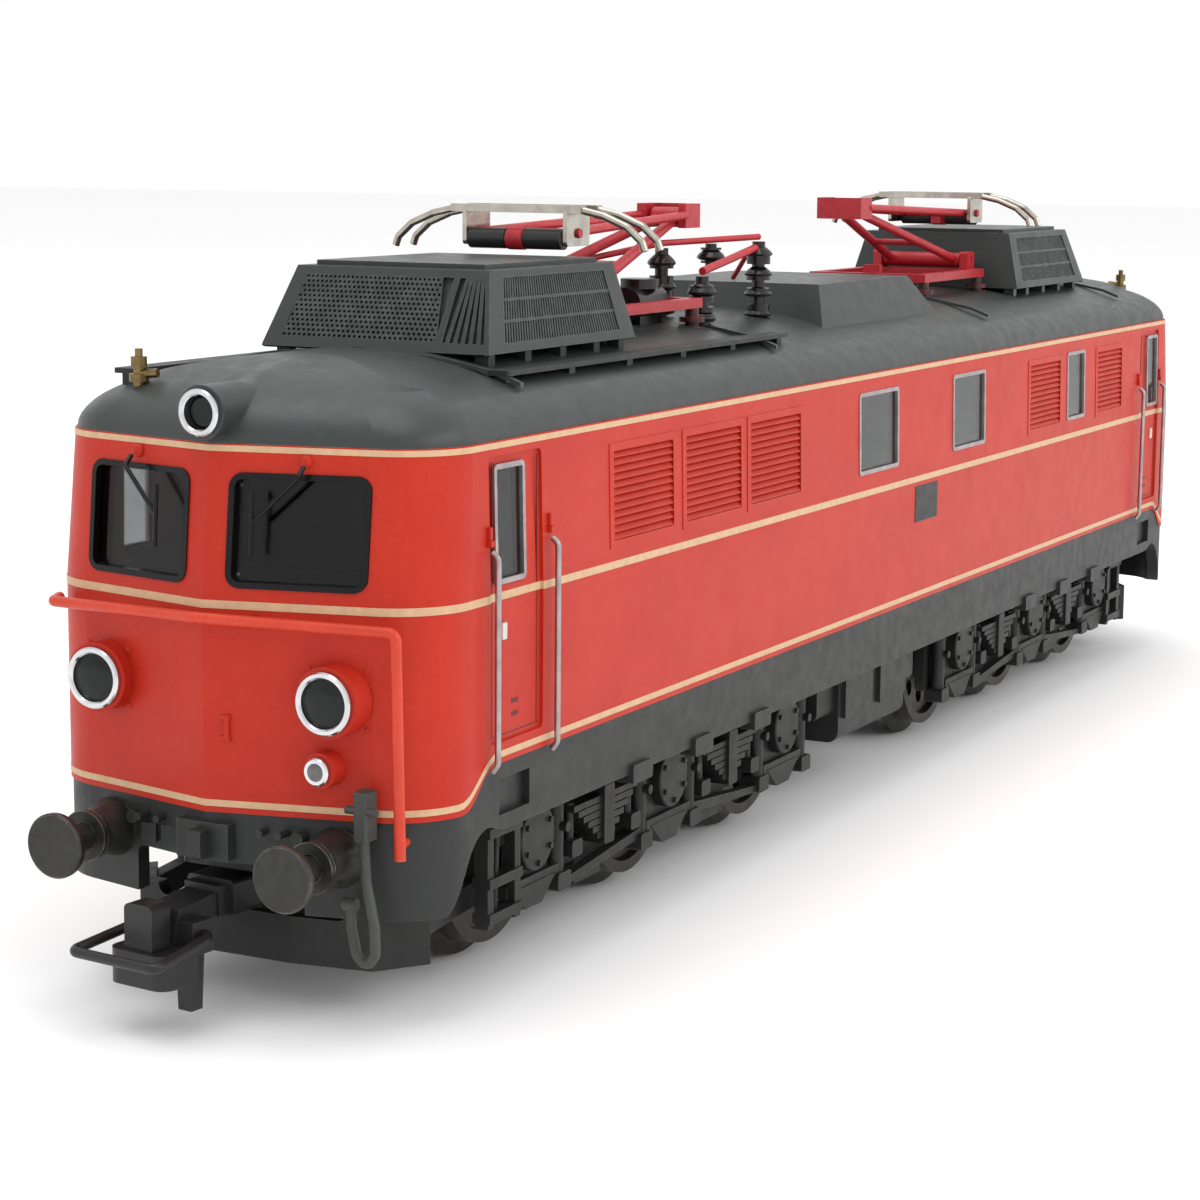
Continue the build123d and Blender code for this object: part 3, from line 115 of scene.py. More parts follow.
class Finish:
    """Node tree of one procedural finish, built up a layer at a time."""

    def __init__(self, name, colour, rough, metallic=0.0, specular=0.5):
        self.name = name
        self.material = bpy.data.materials.new(name)
        self.material.use_nodes = True
        self.tree = self.material.node_tree
        self.shader = self.tree.nodes["Principled BSDF"]
        self.shader.inputs["Metallic"].default_value = metallic
        self.shader.inputs["Specular IOR Level"].default_value = specular
        self.place = self.tree.nodes.new("ShaderNodeTexCoord").outputs["Object"]
        self.colour = colour
        self.rough = rough
        self.height = None
        self.height_depth = 0.0

    def node(self, kind, **settings):
        node = self.tree.nodes.new(kind)
        for key, value in settings.items():
            setattr(node, key, value)
        return node

    def link(self, out, into):
        self.tree.links.new(out, into)

    def put(self, item, into):
        """Feed a socket from another node, or set its constant."""
        if isinstance(item, (int, float, tuple)):
            into.default_value = item
        else:
            self.link(item, into)

    def noise(self, size, stretch=None):
        """Noise with features about size millimetres across."""
        node = self.node("ShaderNodeTexNoise")
        node.inputs["Scale"].default_value = 1.0 / (size * MM)
        node.inputs["Detail"].default_value = 2.0
        if stretch:
            mapping = self.node("ShaderNodeMapping")
            mapping.inputs["Scale"].default_value = stretch
            self.link(self.place, mapping.inputs["Vector"])
            self.link(mapping.outputs[0], node.inputs["Vector"])
        else:
            self.link(self.place, node.inputs["Vector"])
        return node.outputs["Fac"]

    def ramp(self, source, low, high, start=0.0, end=1.0):
        """Map low..high onto start..end, and hold the ends."""
        node = self.node("ShaderNodeMapRange")
        self.link(source, node.inputs["Value"])
        for key, number in (("From Min", low), ("From Max", high), ("To Min", start), ("To Max", end)):
            node.inputs[key].default_value = number
        return node.outputs["Result"]

    def maths(self, operation, first, second):
        node = self.node("ShaderNodeMath", operation=operation)
        for socket, item in zip(node.inputs, (first, second)):
            self.put(item, socket)
        return node.outputs[0]

    def tint(self, colour, mask):
        """Lay a colour over the finish where the mask is 1."""
        node = self.node("ShaderNodeMix", data_type="RGBA")
        self.link(mask, node.inputs["Factor"])
        self.put(self.colour, node.inputs[6])
        node.inputs[7].default_value = colour
        self.colour = node.outputs[2]
        return self

    def polish(self, amount, mask):
        """Move the roughness towards amount where the mask is 1."""
        node = self.node("ShaderNodeMix", data_type="FLOAT")
        self.link(mask, node.inputs["Factor"])
        self.put(self.rough, node.inputs[2])
        node.inputs[3].default_value = amount
        self.rough = node.outputs[0]
        return self

    def mottle(self, colour, size, share=0.5):
        """Soft patches of another colour, about size millimetres across."""
        return self.tint(colour, self.ramp(self.noise(size), 0.35, 0.65, 0.0, share))

    def uneven(self, spread, size):
        """Roughness that wanders by plus or minus spread."""
        self.rough = self.maths("ADD", self.rough, self.ramp(self.noise(size), 0.25, 0.75, -spread, spread))
        return self

    def specks(self, colour, cell, size, share):
        """Scattered dust specks: one in some of the cells."""
        node = self.node("ShaderNodeTexVoronoi")
        node.inputs["Scale"].default_value = 1.0 / (cell * MM)
        self.link(self.place, node.inputs["Vector"])
        spot = self.ramp(node.outputs["Distance"], size / cell, size / cell * 0.6)
        pick = self.node("ShaderNodeSeparateColor")
        self.link(node.outputs["Color"], pick.inputs[0])
        chosen = self.maths("LESS_THAN", pick.outputs[0], share)
        return self.tint(colour, self.maths("MULTIPLY", spot, chosen))

    def painted_edge_highlight(self, colour, radius, amount, rough):
        """Painted highlight: lighter colour along the edges, broken up by noise, with the roughness moved
        towards rough there.
        """
        bevel = self.node("ShaderNodeBevel", samples=4)
        bevel.inputs["Radius"].default_value = radius * MM
        geometry = self.node("ShaderNodeNewGeometry")
        dot = self.node("ShaderNodeVectorMath", operation="DOT_PRODUCT")
        self.link(bevel.outputs[0], dot.inputs[0])
        self.link(geometry.outputs["Normal"], dot.inputs[1])
        # painted highlight mask: high where the bevel normal turns away from the face normal, at the edges
        edge = self.ramp(dot.outputs["Value"], 0.97, 0.8, 0.0, amount)
        mask = self.maths("MULTIPLY", edge, self.ramp(self.noise(1.2), 0.35, 0.62))
        return self.tint(colour, mask).polish(rough, mask)

    def axis(self, index, low, high):
        """Mask that goes from 0 to 1 along one axis, in millimetres."""
        split = self.node("ShaderNodeSeparateXYZ")
        self.link(self.place, split.inputs[0])
        return self.ramp(split.outputs[index], low * MM, high * MM)

    def grain(self, size, depth, stretch=None):
        """Surface relief of the given feature size and depth, in millimetres."""
        rise = self.maths("MULTIPLY", self.noise(size, stretch), depth * MM)
        self.height = rise if self.height is None else self.maths("ADD", self.height, rise)
        return self

    def glassy(self, transmission, ior):
        self.shader.inputs["Transmission Weight"].default_value = transmission
        self.shader.inputs["IOR"].default_value = ior
        return self

    def coat(self, weight, rough):
        self.shader.inputs["Coat Weight"].default_value = weight
        self.shader.inputs["Coat Roughness"].default_value = rough
        return self

    def done(self):
        self.put(self.colour, self.shader.inputs["Base Color"])
        self.put(self.rough, self.shader.inputs["Roughness"])
        if self.height is not None:
            bump = self.node("ShaderNodeBump")
            bump.inputs["Strength"].default_value = 1.0
            bump.inputs["Distance"].default_value = 1.0
            self.link(self.height, bump.inputs["Height"])
            self.link(bump.outputs[0], self.shader.inputs["Normal"])
        return self.material


def satin_paint(name, colour, shade):
    """Sprayed model paint: fine orange peel, slight tone and gloss variation."""
    finish = Finish(name, colour, 0.42, specular=0.2).mottle(shade, 7.0, 0.4).mottle(shade, 0.5, 0.3)
    return finish.uneven(0.05, 2.5).grain(0.15, 0.002)


def moulded(name, colour, shade, rough=0.5, edge=None, cloud=0.6):
    """Self-coloured moulded plastic with a spark-eroded grain, and a painted highlight along the edges when
    an edge colour is given.
    """
    finish = Finish(name, colour, rough, specular=0.4).mottle(shade, 5.0, cloud).mottle(shade, 0.45, 0.4)
    finish.uneven(0.07, 1.6).grain(0.12, 0.004).grain(0.6, 0.002)
    # edge is the colour of the painted highlight along the edges
    return finish.painted_edge_highlight(edge, 0.14, 0.7, rough - 0.12) if edge else finish


def bare_metal(name, colour, shade, rough):
    """Plated or turned metal with fine scratches and dull patches."""
    finish = Finish(name, colour, rough, metallic=1.0).mottle(shade, 1.6, 0.6)
    return finish.uneven(0.08, 0.8).grain(0.08, 0.002, stretch=(0.2, 1.0, 1.0))


def pane():
    """Clear glazing, a little grey."""
    finish = Finish("clear_glass", srgb(176, 178, 178), 0.05, specular=0.3)
    return finish.mottle(srgb(160, 163, 163), 4.0, 0.4).glassy(1.0, 1.3)


def seal():
    return Finish("seal_rubber", srgb(9, 8, 9), 0.22, specular=0.25).mottle(srgb(16, 15, 16), 1.5)


def lamp_bowl():
    """Dark glass of the headlamps."""
    return Finish("lamp_glass", srgb(12, 14, 14), 0.12, specular=0.3).mottle(srgb(26, 32, 30), 0.8)


def tail_lens():
    """Grey unlit glass with a clear coat."""
    return Finish("tail_lens", srgb(58, 58, 60), 0.14).mottle(srgb(96, 96, 98), 0.5).coat(1.0, 0.05)


def blackened_buffer():
    """Blackened metal, with a light painted highlight along the rims."""
    finish = Finish("buffer_black", srgb(42, 42, 39), 0.42, metallic=0.2).mottle(srgb(30, 29, 27), 1.1, 0.8)
    # the pale edge colour is a painted highlight along the rims
    return finish.uneven(0.1, 0.7).grain(0.14, 0.006).painted_edge_highlight(srgb(160, 150, 136), 0.16, 0.9, 0.25)


def blackened_wheel():
    """Blackened wheels, with a faint painted highlight along the edges."""
    finish = Finish("wheel_black", srgb(52, 49, 46), 0.4, metallic=0.5).mottle(srgb(34, 32, 30), 1.4, 0.7)
    # the lighter edge colour is a painted highlight along the edges
    return finish.uneven(0.08, 0.9).painted_edge_highlight(srgb(110, 104, 96), 0.15, 0.6, 0.3)


def printed_line():
    """Beige lining printed on the body."""
    finish = Finish("stripe_beige", srgb(204, 170, 134), 0.45, specular=0.3)
    return finish.mottle(srgb(186, 150, 114), 0.8, 0.5).uneven(0.05, 1.5).grain(0.12, 0.001)


def pantograph_red():
    """Red arms, standing on black insulators below them."""
    finish = Finish("line_red", srgb(34, 28, 28), 0.4, specular=0.4)
    finish.tint(srgb(178, 34, 44), finish.axis(2, 50.05, 50.15)).mottle(srgb(136, 24, 32), 0.7, 0.4)
    # pink painted highlight along the edges
    return finish.uneven(0.07, 0.9).grain(0.1, 0.004).painted_edge_highlight(srgb(214, 110, 108), 0.12, 0.5, 0.3)


def painted_body():
    return satin_paint("body_red", srgb(186, 48, 29), srgb(168, 34, 22)).specks(DUST, 14.0, 0.12, 0.08)


def roof_dust_and_highlight():
    # lighter grey painted highlight along the edges, and scattered dust specks
    finish = moulded("roof_grey", srgb(52, 57, 56), srgb(45, 49, 48), 0.4, srgb(104, 109, 107), 0.2)
    return finish.specks(DUST, 6.0, 0.14, 0.3)


def frame_dust_and_highlight():
    # lighter grey painted highlight along the edges, and scattered dust specks
    finish = moulded("frame_grey", srgb(38, 41, 39), srgb(31, 33, 32), 0.5, srgb(84, 85, 82))
    return finish.specks(DUST, 8.0, 0.1, 0.15)


DUST = srgb(196, 196, 188)
# Finish of each material slot in the record.
# The third colour given to moulded, where there is one, is a painted highlight along the edges.
SLOT_FINISHES = (
    painted_body(),
    roof_dust_and_highlight(),
    frame_dust_and_highlight(),
    moulded("bogie_grey", srgb(29, 31, 29), srgb(20, 21, 20), 0.52, srgb(84, 85, 80)),
    pane(),
    bare_metal("window_alloy", srgb(176, 166, 166), srgb(146, 134, 134), 0.42),
    seal(),
    bare_metal("lamp_chrome", srgb(214, 214, 216), srgb(190, 190, 194), 0.16),
    lamp_bowl(),
    moulded("circuit_green", srgb(30, 78, 48), srgb(20, 58, 36), 0.4),
    moulded("insulator_brown", srgb(30, 26, 26), srgb(22, 19, 19), 0.24, srgb(84, 76, 74)),
    pantograph_red(),
    bare_metal("brass", srgb(142, 120, 80), srgb(92, 76, 50), 0.36),
    moulded("rail_orange", srgb(206, 62, 34), srgb(186, 48, 26), 0.36, srgb(238, 120, 84)),
    moulded("cab_brown", srgb(44, 32, 28), srgb(32, 24, 20), 0.6, srgb(84, 68, 58)),
    bare_metal("steel", srgb(150, 150, 152), srgb(110, 110, 112), 0.3),
    blackened_buffer(),
    moulded("hose_rubber", srgb(66, 68, 64), srgb(52, 54, 51), 0.5, srgb(100, 102, 96)),
    bare_metal("cast_zinc", srgb(126, 128, 130), srgb(96, 98, 100), 0.48),
    moulded("coupler_black", srgb(28, 28, 29), srgb(38, 36, 36), 0.38, srgb(76, 72, 70)),
    moulded("gear_plastic", srgb(70, 70, 66), srgb(54, 54, 50), 0.5),
    bare_metal("nickel", srgb(192, 187, 176), srgb(156, 150, 138), 0.24),
)
MATERIALS = {finish.name: finish.done() for finish in SLOT_FINISHES}
WHEEL_BLACK = blackened_wheel().done()
STRIPE = printed_line().done()
SHADOW_RED = moulded("shadow_red", srgb(96, 24, 16), srgb(78, 18, 12), 0.5).done()
# The third colour of gangway_dark and tube_black is a painted highlight along the edges.
GANGWAY_DARK = moulded("gangway_dark", srgb(34, 36, 36), srgb(26, 28, 28), 0.5, srgb(62, 65, 64)).done()
TUBE_BLACK = moulded("tube_black", srgb(30, 28, 29), srgb(44, 42, 42), 0.36, srgb(92, 88, 86)).done()
TAIL_LENS = tail_lens().done()
HANDLE_WHITE = moulded("handle_white", srgb(206, 202, 194), srgb(180, 176, 168), 0.4).done()


def dress(node, material):
    """Give a CAD node a finish in place of its flat colour."""
    data = NODES[node].data
    data.materials.clear()
    data.materials.append(material)


for name, node in NODES.items():
    flat = node.data.materials[0].name.split(".")[0]
    dress(name, WHEEL_BLACK if name.startswith("wheelset") else MATERIALS[flat])
dress("roof_walkways", GANGWAY_DARK)


# ---------------------------------------------------------------- mesh building


class Solid:
    """Closed mesh made of lofted rings of points, in millimetres."""

    def __init__(self):
        self.points = []
        self.faces = []

    def loft(self, rings, closed=False):
        """Skin a row of equal rings; the ends are capped unless the row closes on itself."""
        base, count = len(self.points), len(rings[0])
        for ring in rings:
            self.points += [tuple(p) for p in ring]
        spans = len(rings) if closed else len(rings) - 1
        for i in range(spans):
            here, there = base + i * count, base + (i + 1) % len(rings) * count
            for k in range(count):
                n = (k + 1) % count
                self.faces.append((here + k, here + n, there + n, there + k))
        if not closed:
            last = base + (len(rings) - 1) * count
            self.faces.append(tuple(range(base, base + count)))
            self.faces.append(tuple(range(last, last + count)))

    def block(self, x, y, z):
        self.loft([[(a, y[0], z[0]), (a, y[1], z[0]), (a, y[1], z[1]), (a, y[0], z[1])] for a in x])

    def join(self, other):
        """Add the points and faces of another solid."""
        base = len(self.points)
        self.points += other.points
        self.faces += [tuple(base + i for i in face) for face in other.faces]

    def turned(self):
        """Add the same shape at the other end, half a turn about the middle."""
        base = len(self.points)
        self.points += [(-x, -y, z) for x, y, z in self.points]
        self.faces += [tuple(base + i for i in face) for face in self.faces]
        return self

    def lathe(self, start, end, profile, sides=24):
        """Round solid along a line; profile is (share along, radius)."""
        start, end = Vector(start), Vector(end)
        along = end - start
        across = along.orthogonal().normalized()
        other = along.normalized().cross(across)
        rings = []
        for share, radius in profile:
            turns = [2 * math.pi * k / sides for k in range(sides)]
            middle = start + along * share
            rings.append([middle + (across * math.cos(a) + other * math.sin(a)) * radius for a in turns])
        self.loft(rings)

    def piece(self, name, material, body="root", slot=None, soft=0.0, smooth=False):
        mesh = bpy.data.meshes.new(name)
        mesh.from_pydata([tuple(c * MM for c in p) for p in self.points], [], self.faces)
        work = bmesh.new()
        work.from_mesh(mesh)
        bmesh.ops.recalc_face_normals(work, faces=work.faces)
        work.to_mesh(mesh)
        work.free()
        mesh.materials.append(material)
        if smooth:
            mesh.polygons.foreach_set("use_smooth", [True] * len(mesh.polygons))
            mesh.set_sharp_from_angle(angle=math.radians(40))
        made = bpy.data.objects.new(name, mesh)
        bpy.context.scene.collection.objects.link(made)
        if soft:
            bevel = made.modifiers.new("soft", "BEVEL")
            bevel.width, bevel.segments, bevel.limit_method = soft * MM, 2, "ANGLE"
        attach(made, body)
        return made


# ---------------------------------------------------------------- body wall


def lean(z):
    """Share of the way from the upright lower wall to the roof edge."""
    return max(0.0, min(1.0, (z - BELT_Z) / (ROOF_EDGE_Z - BELT_Z)))


def side_y(z):
    return SIDE_Y + (SIDE_TOP_Y - SIDE_Y) * lean(z)


def nose_x(z):
    return NOSE_X + (NOSE_TOP_X - NOSE_X) * lean(z)


def quarter_plan(z):
    """Wall line from the middle of the nose to the middle of the side, with outward normals."""
    tilt = math.atan(NOSE_SLOPE)
    half, nose = side_y(z), nose_x(z)
    corner_y = half - CORNER
    corner_x = nose - NOSE_SLOPE * corner_y - CORNER / math.cos(tilt)
    corner_start_x = corner_x + CORNER * math.cos(tilt)
    line = [(0.0, nose, (1.0, 0.0))]
    for k in range(13):
        angle = tilt + (math.pi / 2 - tilt) * k / 12
        normal = (math.cos(angle), math.sin(angle))
        line.append((corner_y + CORNER * normal[1], corner_x + CORNER * normal[0], normal))
    side = (0.0, 1.0)
    sole_low, sole_high = SOLE_BEND_X
    bends = [sole_high - (sole_high - sole_low) * k / 10 for k in range(11)]
    places = [(x, half) for x in bends if x < corner_start_x - CORNER]
    if DOOR_Z[0] < z < DOOR_Z[1]:
        inner, outer = DOOR_X
        places = [(x, half) for x in bends if outer < x < corner_x]
        sunk = half - DOOR_DEPTH
        places += [(outer, half), (outer - 0.01, sunk), (inner + 0.01, sunk), (inner, half)]
    line += [(y, x, side) for x, y in places] + [(half, 40.0, side)]
    return line


def wall_line(z):
    """Closed wall line at a height, as (x, y, normal)."""
    quarter = [(x, y, n) for y, x, n in quarter_plan(z)]
    line = list(quarter)
    line += [(-x, y, (-n[0], n[1])) for x, y, n in reversed(quarter)]
    line += [(-x, -y, (-n[0], -n[1])) for x, y, n in quarter[1:]]
    line += [(x, -y, (n[0], -n[1])) for x, y, n in reversed(quarter[1:])]
    return line


def ribbon(solid, z, low, high, proud):
    """Thin band round the body, following the wall; low(x) and high(x) are the heights of its edges."""
    rings = []
    for x, y, normal in wall_line(z):
        inner = (x - normal[0] * 0.05, y - normal[1] * 0.05)
        outer = (x + normal[0] * proud, y + normal[1] * proud)
        bottom, top = low(abs(x)), high(abs(x))
        shift = side_y(top) - side_y(bottom)
        upper = [(px + normal[0] * shift, py + normal[1] * shift) for px, py in (outer, inner)]
        rings.append([(*inner, bottom), (*outer, bottom), (*upper[0], top), (*upper[1], top)])
    solid.loft(rings, closed=True)


def sole_z(x):
    """Bottom edge of the red shell: high along the side, dropping in a curve to the ends."""
    t = max(0.0, min(1.0, (x - SOLE_BEND_X[0]) / (SOLE_BEND_X[1] - SOLE_BEND_X[0])))
    return SOLE_Z + (APRON_TOP_Z - SOLE_Z) * (3 - 2 * t) * t * t


def level_ribbon(solid, z, edges, proud):
    """Ribbon with level edges; z is the height at which the wall line is taken."""
    ribbon(solid, z, lambda x: edges[0], lambda x: edges[1], proud)


def stripes():
    """Beige lines at the roof edge, the belt and the sole, and the fine red line over the belt."""
    bands = Solid()
    low, high = SOLE_LINE_RISE
    level_ribbon(bands, 43.0, ROOF_LINE_Z, 0.05)
    level_ribbon(bands, 31.65, BELT_LINE_Z, 0.04)
    ribbon(bands, SOLE_Z, lambda x: sole_z(x) + low, lambda x: sole_z(x) + high, 0.04)
    bands.piece("body_stripes", STRIPE)
    groove = Solid()
    level_ribbon(groove, 32.4, FINE_LINE_Z, 0.012)
    groove.piece("belt_groove", MATERIALS["body_red"], slot="body_red")


def louvre_slats(x):
    """Slats of one panel, each leaning out at its lower edge."""
    slats = Solid()
    low, high = LOUVRE_Z
    pitch = (high - low) / SLATS
    for i in range(SLATS):
        z = low + i * pitch
        out = -side_y(z)
        lip = [(out - 0.02, z + 0.05), (out - 0.02, z + 0.14)]
        root = [(out + 0.34, z + pitch), (out + 0.45, z + 0.5)]
        slats.loft([[(end, y, h) for y, h in lip + root] for end in (x[0] + 0.05, x[1] - 0.05)])
    return slats


def louvre_frame(x):
    """Low raised border: two posts and two rails that lean with the wall."""
    frame_bars = Solid()
    low, high = LOUVRE_Z
    full = (low - LOUVRE_BORDER, high + LOUVRE_BORDER)
    bars = [((x[0] - LOUVRE_POST, x[0]), full), ((x[1], x[1] + LOUVRE_POST), full)]
    bars += [(x, (full[0], low)), (x, (high, full[1]))]
    for (x0, x1), heights in bars:
        rings = []
        for h in heights:
            outer, inner = -side_y(h) - 0.07, -side_y(h) + 0.05
            rings.append([(x0, outer, h), (x1, outer, h), (x1, inner, h), (x0, inner, h)])
        frame_bars.loft(rings)
    return frame_bars


def louvres():
    """Slanted slats standing in the five wall pockets of each side, with a low frame round each."""
    slats, frames = Solid(), Solid()
    for x in LOUVRE_X:
        slats.join(louvre_slats(x))
        frames.join(louvre_frame(x))
    slats.turned().piece("louvre_slats", MATERIALS["body_red"], slot="body_red")
    frames.turned().piece("louvre_frames", MATERIALS["body_red"], slot="body_red")


# ---------------------------------------------------------------- roof


class Panel:
    """One sloping face of a cowl: places are given as shares across and up, and depth along its normal."""

    def __init__(self, solid, corners):
        self.solid = solid
        self.corners = [Vector(c) for c in corners]
        a, b, _, d = self.corners
        self.normal = (b - a).cross(d - a).normalized()

    def at(self, s, t, depth=0.0):
        a, b, c, d = self.corners
        return (a * (1 - s) + b * s) * (1 - t) + (d * (1 - s) + c * s) * t + self.normal * depth

    def slab(self, s, t, depth, twist=0.0):
        foot = [(s[0], t[0]), (s[1], t[0]), (s[1] + twist, t[1]), (s[0] + twist, t[1])]
        self.solid.loft([[self.at(u, v, d) for u, v in foot] for d in depth])

    def hole(self, s, t, radius, depth):
        """Small block of the plate with a round hole through it."""
        mid_s, mid_t = (s[0] + s[1]) / 2, (t[0] + t[1]) / 2
        half_s, half_t = (s[1] - s[0]) / 2, (t[1] - t[0]) / 2
        edge = [(1, 0), (1, 1), (0, 1), (-1, 1), (-1, 0), (-1, -1), (0, -1), (1, -1)]
        rings = []
        for k, (u, v) in enumerate(edge):
            angle = k * math.pi / 4
            rim = (mid_s + u * half_s, mid_t + v * half_t)
            lip = (mid_s + radius * half_s * math.cos(angle), mid_t + radius * half_t * math.sin(angle))
            outside = [self.at(*rim, depth[0]), self.at(*rim, depth[1])]
            rings.append(outside + [self.at(*lip, depth[1]), self.at(*lip, depth[0])])
        self.solid.loft(rings, closed=True)


def cowl_front(front):
    """Punched plate beside a fan of slanted slats."""
    wall, opening = (-COWL_SKIN, 0.0), COWL_OPENING
    low, high = opening
    front.slab((0.0, 0.075), opening, wall)
    start, width = 0.07, 0.7 / (PUNCHED_COLUMNS + 0.5)
    end = start + width * PUNCHED_COLUMNS
    for row in range(PUNCHED_ROWS):
        shift = 0.5 * (row % 2)
        across = [low + (high - low) * (row + step) / PUNCHED_ROWS for step in (0, 1)]
        filler = start if shift else end
        front.slab((filler, filler + width * 0.5), across, wall)
        for column in range(PUNCHED_COLUMNS):
            left = start + width * (column + shift)
            front.hole((left, left + width), across, 0.62, wall)
    front.slab((0.765, 0.795), opening, wall, twist=0.06)
    for k in range(FAN_SLATS):
        left = 0.81 + k * 0.034
        front.slab((left, left + 0.016), opening, wall, twist=0.015 * (FAN_SLATS - k))
    front.slab((0.98, 1.0), opening, wall)


def cowl_side(panel):
    """Three rows of fine upright fins between plain ends."""
    opening = COWL_OPENING
    panel.slab((0.0, 0.1), opening, (-COWL_SKIN, 0.0))
    panel.slab((0.9, 1.0), opening, (-COWL_SKIN, 0.0))
    for rib in (0.36, 0.62):
        panel.slab((0.1, 0.9), (rib, rib + 0.035), (-COWL_SKIN, -0.05))
    for k in range(FINS):
        left = 0.1 + 0.8 * (k + 0.25) / FINS
        panel.slab((left, left + 0.4 / FINS), opening, (-COWL_SKIN, -0.12))


def cowl_outline(x, y):
    """Corners of a rectangle that is y either side of the middle."""
    return [(x[0], -y), (x[1], -y), (x[1], y), (x[0], y)]


def drawn_in(x):
    """The same length, shorter by the skin at both ends."""
    return (x[0] + COWL_SKIN, x[1] - COWL_SKIN)


def cowl():
    """Cooler cowl: a sloping core, clad on four sides, under a stepped lid and on short feet."""
    solid = Solid()
    low, high = COWL_Z
    foot = cowl_outline(COWL_FOOT_X, COWL_FOOT_Y)
    head = cowl_outline(COWL_HEAD_X, COWL_HEAD_Y)
    core_foot = cowl_outline(drawn_in(COWL_FOOT_X), COWL_FOOT_Y - COWL_SKIN)
    core_head = cowl_outline(drawn_in(COWL_HEAD_X), COWL_HEAD_Y - COWL_SKIN)
    solid.loft([[(x, y, low + 0.05) for x, y in core_foot], [(x, y, high - 0.1) for x, y in core_head]])
    panels = []
    for a, b in ((3, 0), (0, 1), (2, 3), (1, 2)):
        corners = [(*foot[a], low), (*foot[b], low), (*head[b], high), (*head[a], high)]
        panels.append(Panel(solid, corners))
    for panel in panels:
        panel.slab((0.0, 1.0), (0.0, COWL_OPENING[0]), (-COWL_SKIN, 0.0))
        panel.slab((0.0, 1.0), (COWL_OPENING[1], 1.0), (-COWL_SKIN, 0.0))
    front, near, far, back = panels
    back.slab((0.0, 1.0), COWL_OPENING, (-COWL_SKIN, -0.03))
    cowl_front(front)
    cowl_side(near)
    cowl_side(far)
    solid.loft([[(x, y, z) for x, y in head] for z in (high - 0.1, high)])
    solid.block(COWL_LID_X, (-COWL_LID_Y, COWL_LID_Y), (high, high + COWL_LID_RISE))
    for x in COWL_FEET_X:
        for y in COWL_FEET_Y:
            solid.block((x, x + 1.0), (y, y + 1.2), (COWL_FEET_Z, low))
    made = solid.turned().piece("cooler_cowls", MATERIALS["roof_grey"], slot="roof_grey")
    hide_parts("roof_coolers")


def roof_seams():
    """Raised lips where the lift-off roof panels meet the fixed roof."""
    lips = Solid()
    arch = [(-y, z) for y, z in ROOF_ARCH] + [(0.0, ROOF_CROWN_Z)] + list(reversed(ROOF_ARCH))
    for x in SEAM_X:
        rings = []
        for y, z in arch:
            low, high = z - 0.2, z + 0.12
            rings.append([(x, y, low), (x + 0.5, y, low), (x + 0.5, y, high), (x, y, high)])
        lips.loft(rings)
    lips.turned().piece("roof_seams", MATERIALS["roof_grey"], slot="roof_grey")


def pantograph_heads():
    """Sprung tube under each collector head, with the red collar at its middle."""
    for end, s in (("front", 1), ("rear", -1)):
        tube, collar = Solid(), Solid()
        x, z, radius = SPRING_TUBE_X * s, SPRING_TUBE_Z, 0.9
        profile = [(0.0, 0.6), (0.015, radius), (0.4, radius), (0.405, 0.8)]
        profile += [(1.0 - share, r) for share, r in reversed(profile)]
        tube.lathe((x, -SPRING_TUBE_Y, z), (x, SPRING_TUBE_Y, z), profile)
        ring = [(0.0, 0.82), (0.06, 0.97), (0.94, 0.97), (1.0, 0.82)]
        collar.lathe((x, -0.85, z), (x, 0.85, z), ring)
        collar.block(sorted((x + 0.2 * s, x + 1.3 * s)), (-0.6, 0.6), (z - 0.75, z + 0.1))
        body = f"pantograph_{end}_head"
        tube.piece(f"spring_tube_{end}", TUBE_BLACK, body, smooth=True)
        collar.piece(f"spring_collar_{end}", MATERIALS["line_red"], body, "line_red", smooth=True)


# ---------------------------------------------------------------- small fittings


def on_door(solid, end, side, x, proud, z):
    """Block on the sunk face of one cab door; end and side are signs."""
    face = (SIDE_Y - DOOR_DEPTH) * side
    depth = sorted((face - 0.05 * side, face + proud * side))
    solid.block(sorted((x[0] * end, x[1] * end)), depth, z)


def door_fittings():
    """Handle on each cab door, and painted shadow in dark red: marks for each key slot, and lines along the
    sill and edges.
    """
    handles, painted_shadows = Solid(), Solid()
    for end in (-1, 1):
        for side in (-1, 1):
            on_door(handles, end, side, (85.2, 85.9), 0.22, (28.3, 29.6))
            # painted shadow: flat dark red marks where the key slot, sill and door edges lie in shade
            for low in (22.2, 23.2):
                on_door(painted_shadows, end, side, (83.2, 84.2), 0.02, (low, low + 0.35))
            on_door(painted_shadows, end, side, (79.9, 87.6), 0.015, (21.0, 21.1))
            for x in ((80.2, 80.35), (87.15, 87.3)):
                on_door(painted_shadows, end, side, x, 0.015, (21.1, 41.8))
    handles.piece("door_handles", HANDLE_WHITE, soft=0.08)
    painted_shadows.piece("door_painted_shadows", SHADOW_RED)


def side_plates():
    """Dark plain plate low on each side."""
    plate = Solid()
    plate.block((0.15, 6.55), (-SIDE_Y - 0.06, -SIDE_Y + 0.1), (27.2, 30.9))
    plate.turned().piece("side_plates", MATERIALS["frame_grey"], slot="frame_grey", soft=0.03)


def insulator_bells():
    """Rounded bells on the posts of the high-voltage line."""
    bells = Solid()
    bell = [(0.0, 0.95), (0.12, 1.3), (0.3, 1.38), (0.55, 1.2), (0.85, 0.85), (1.0, 0.62)]
    for x, y, z, height in POSTS:
        count = max(1, round(height / 2.2))
        pitch = height / count
        for k in range(count):
            low = z + pitch * (k + 0.25)
            bells.lathe((x, y, low), (x, y, low + pitch * 0.5), bell)
    bells.piece("insulator_bells", MATERIALS["insulator_brown"], slot="insulator_brown", smooth=True)


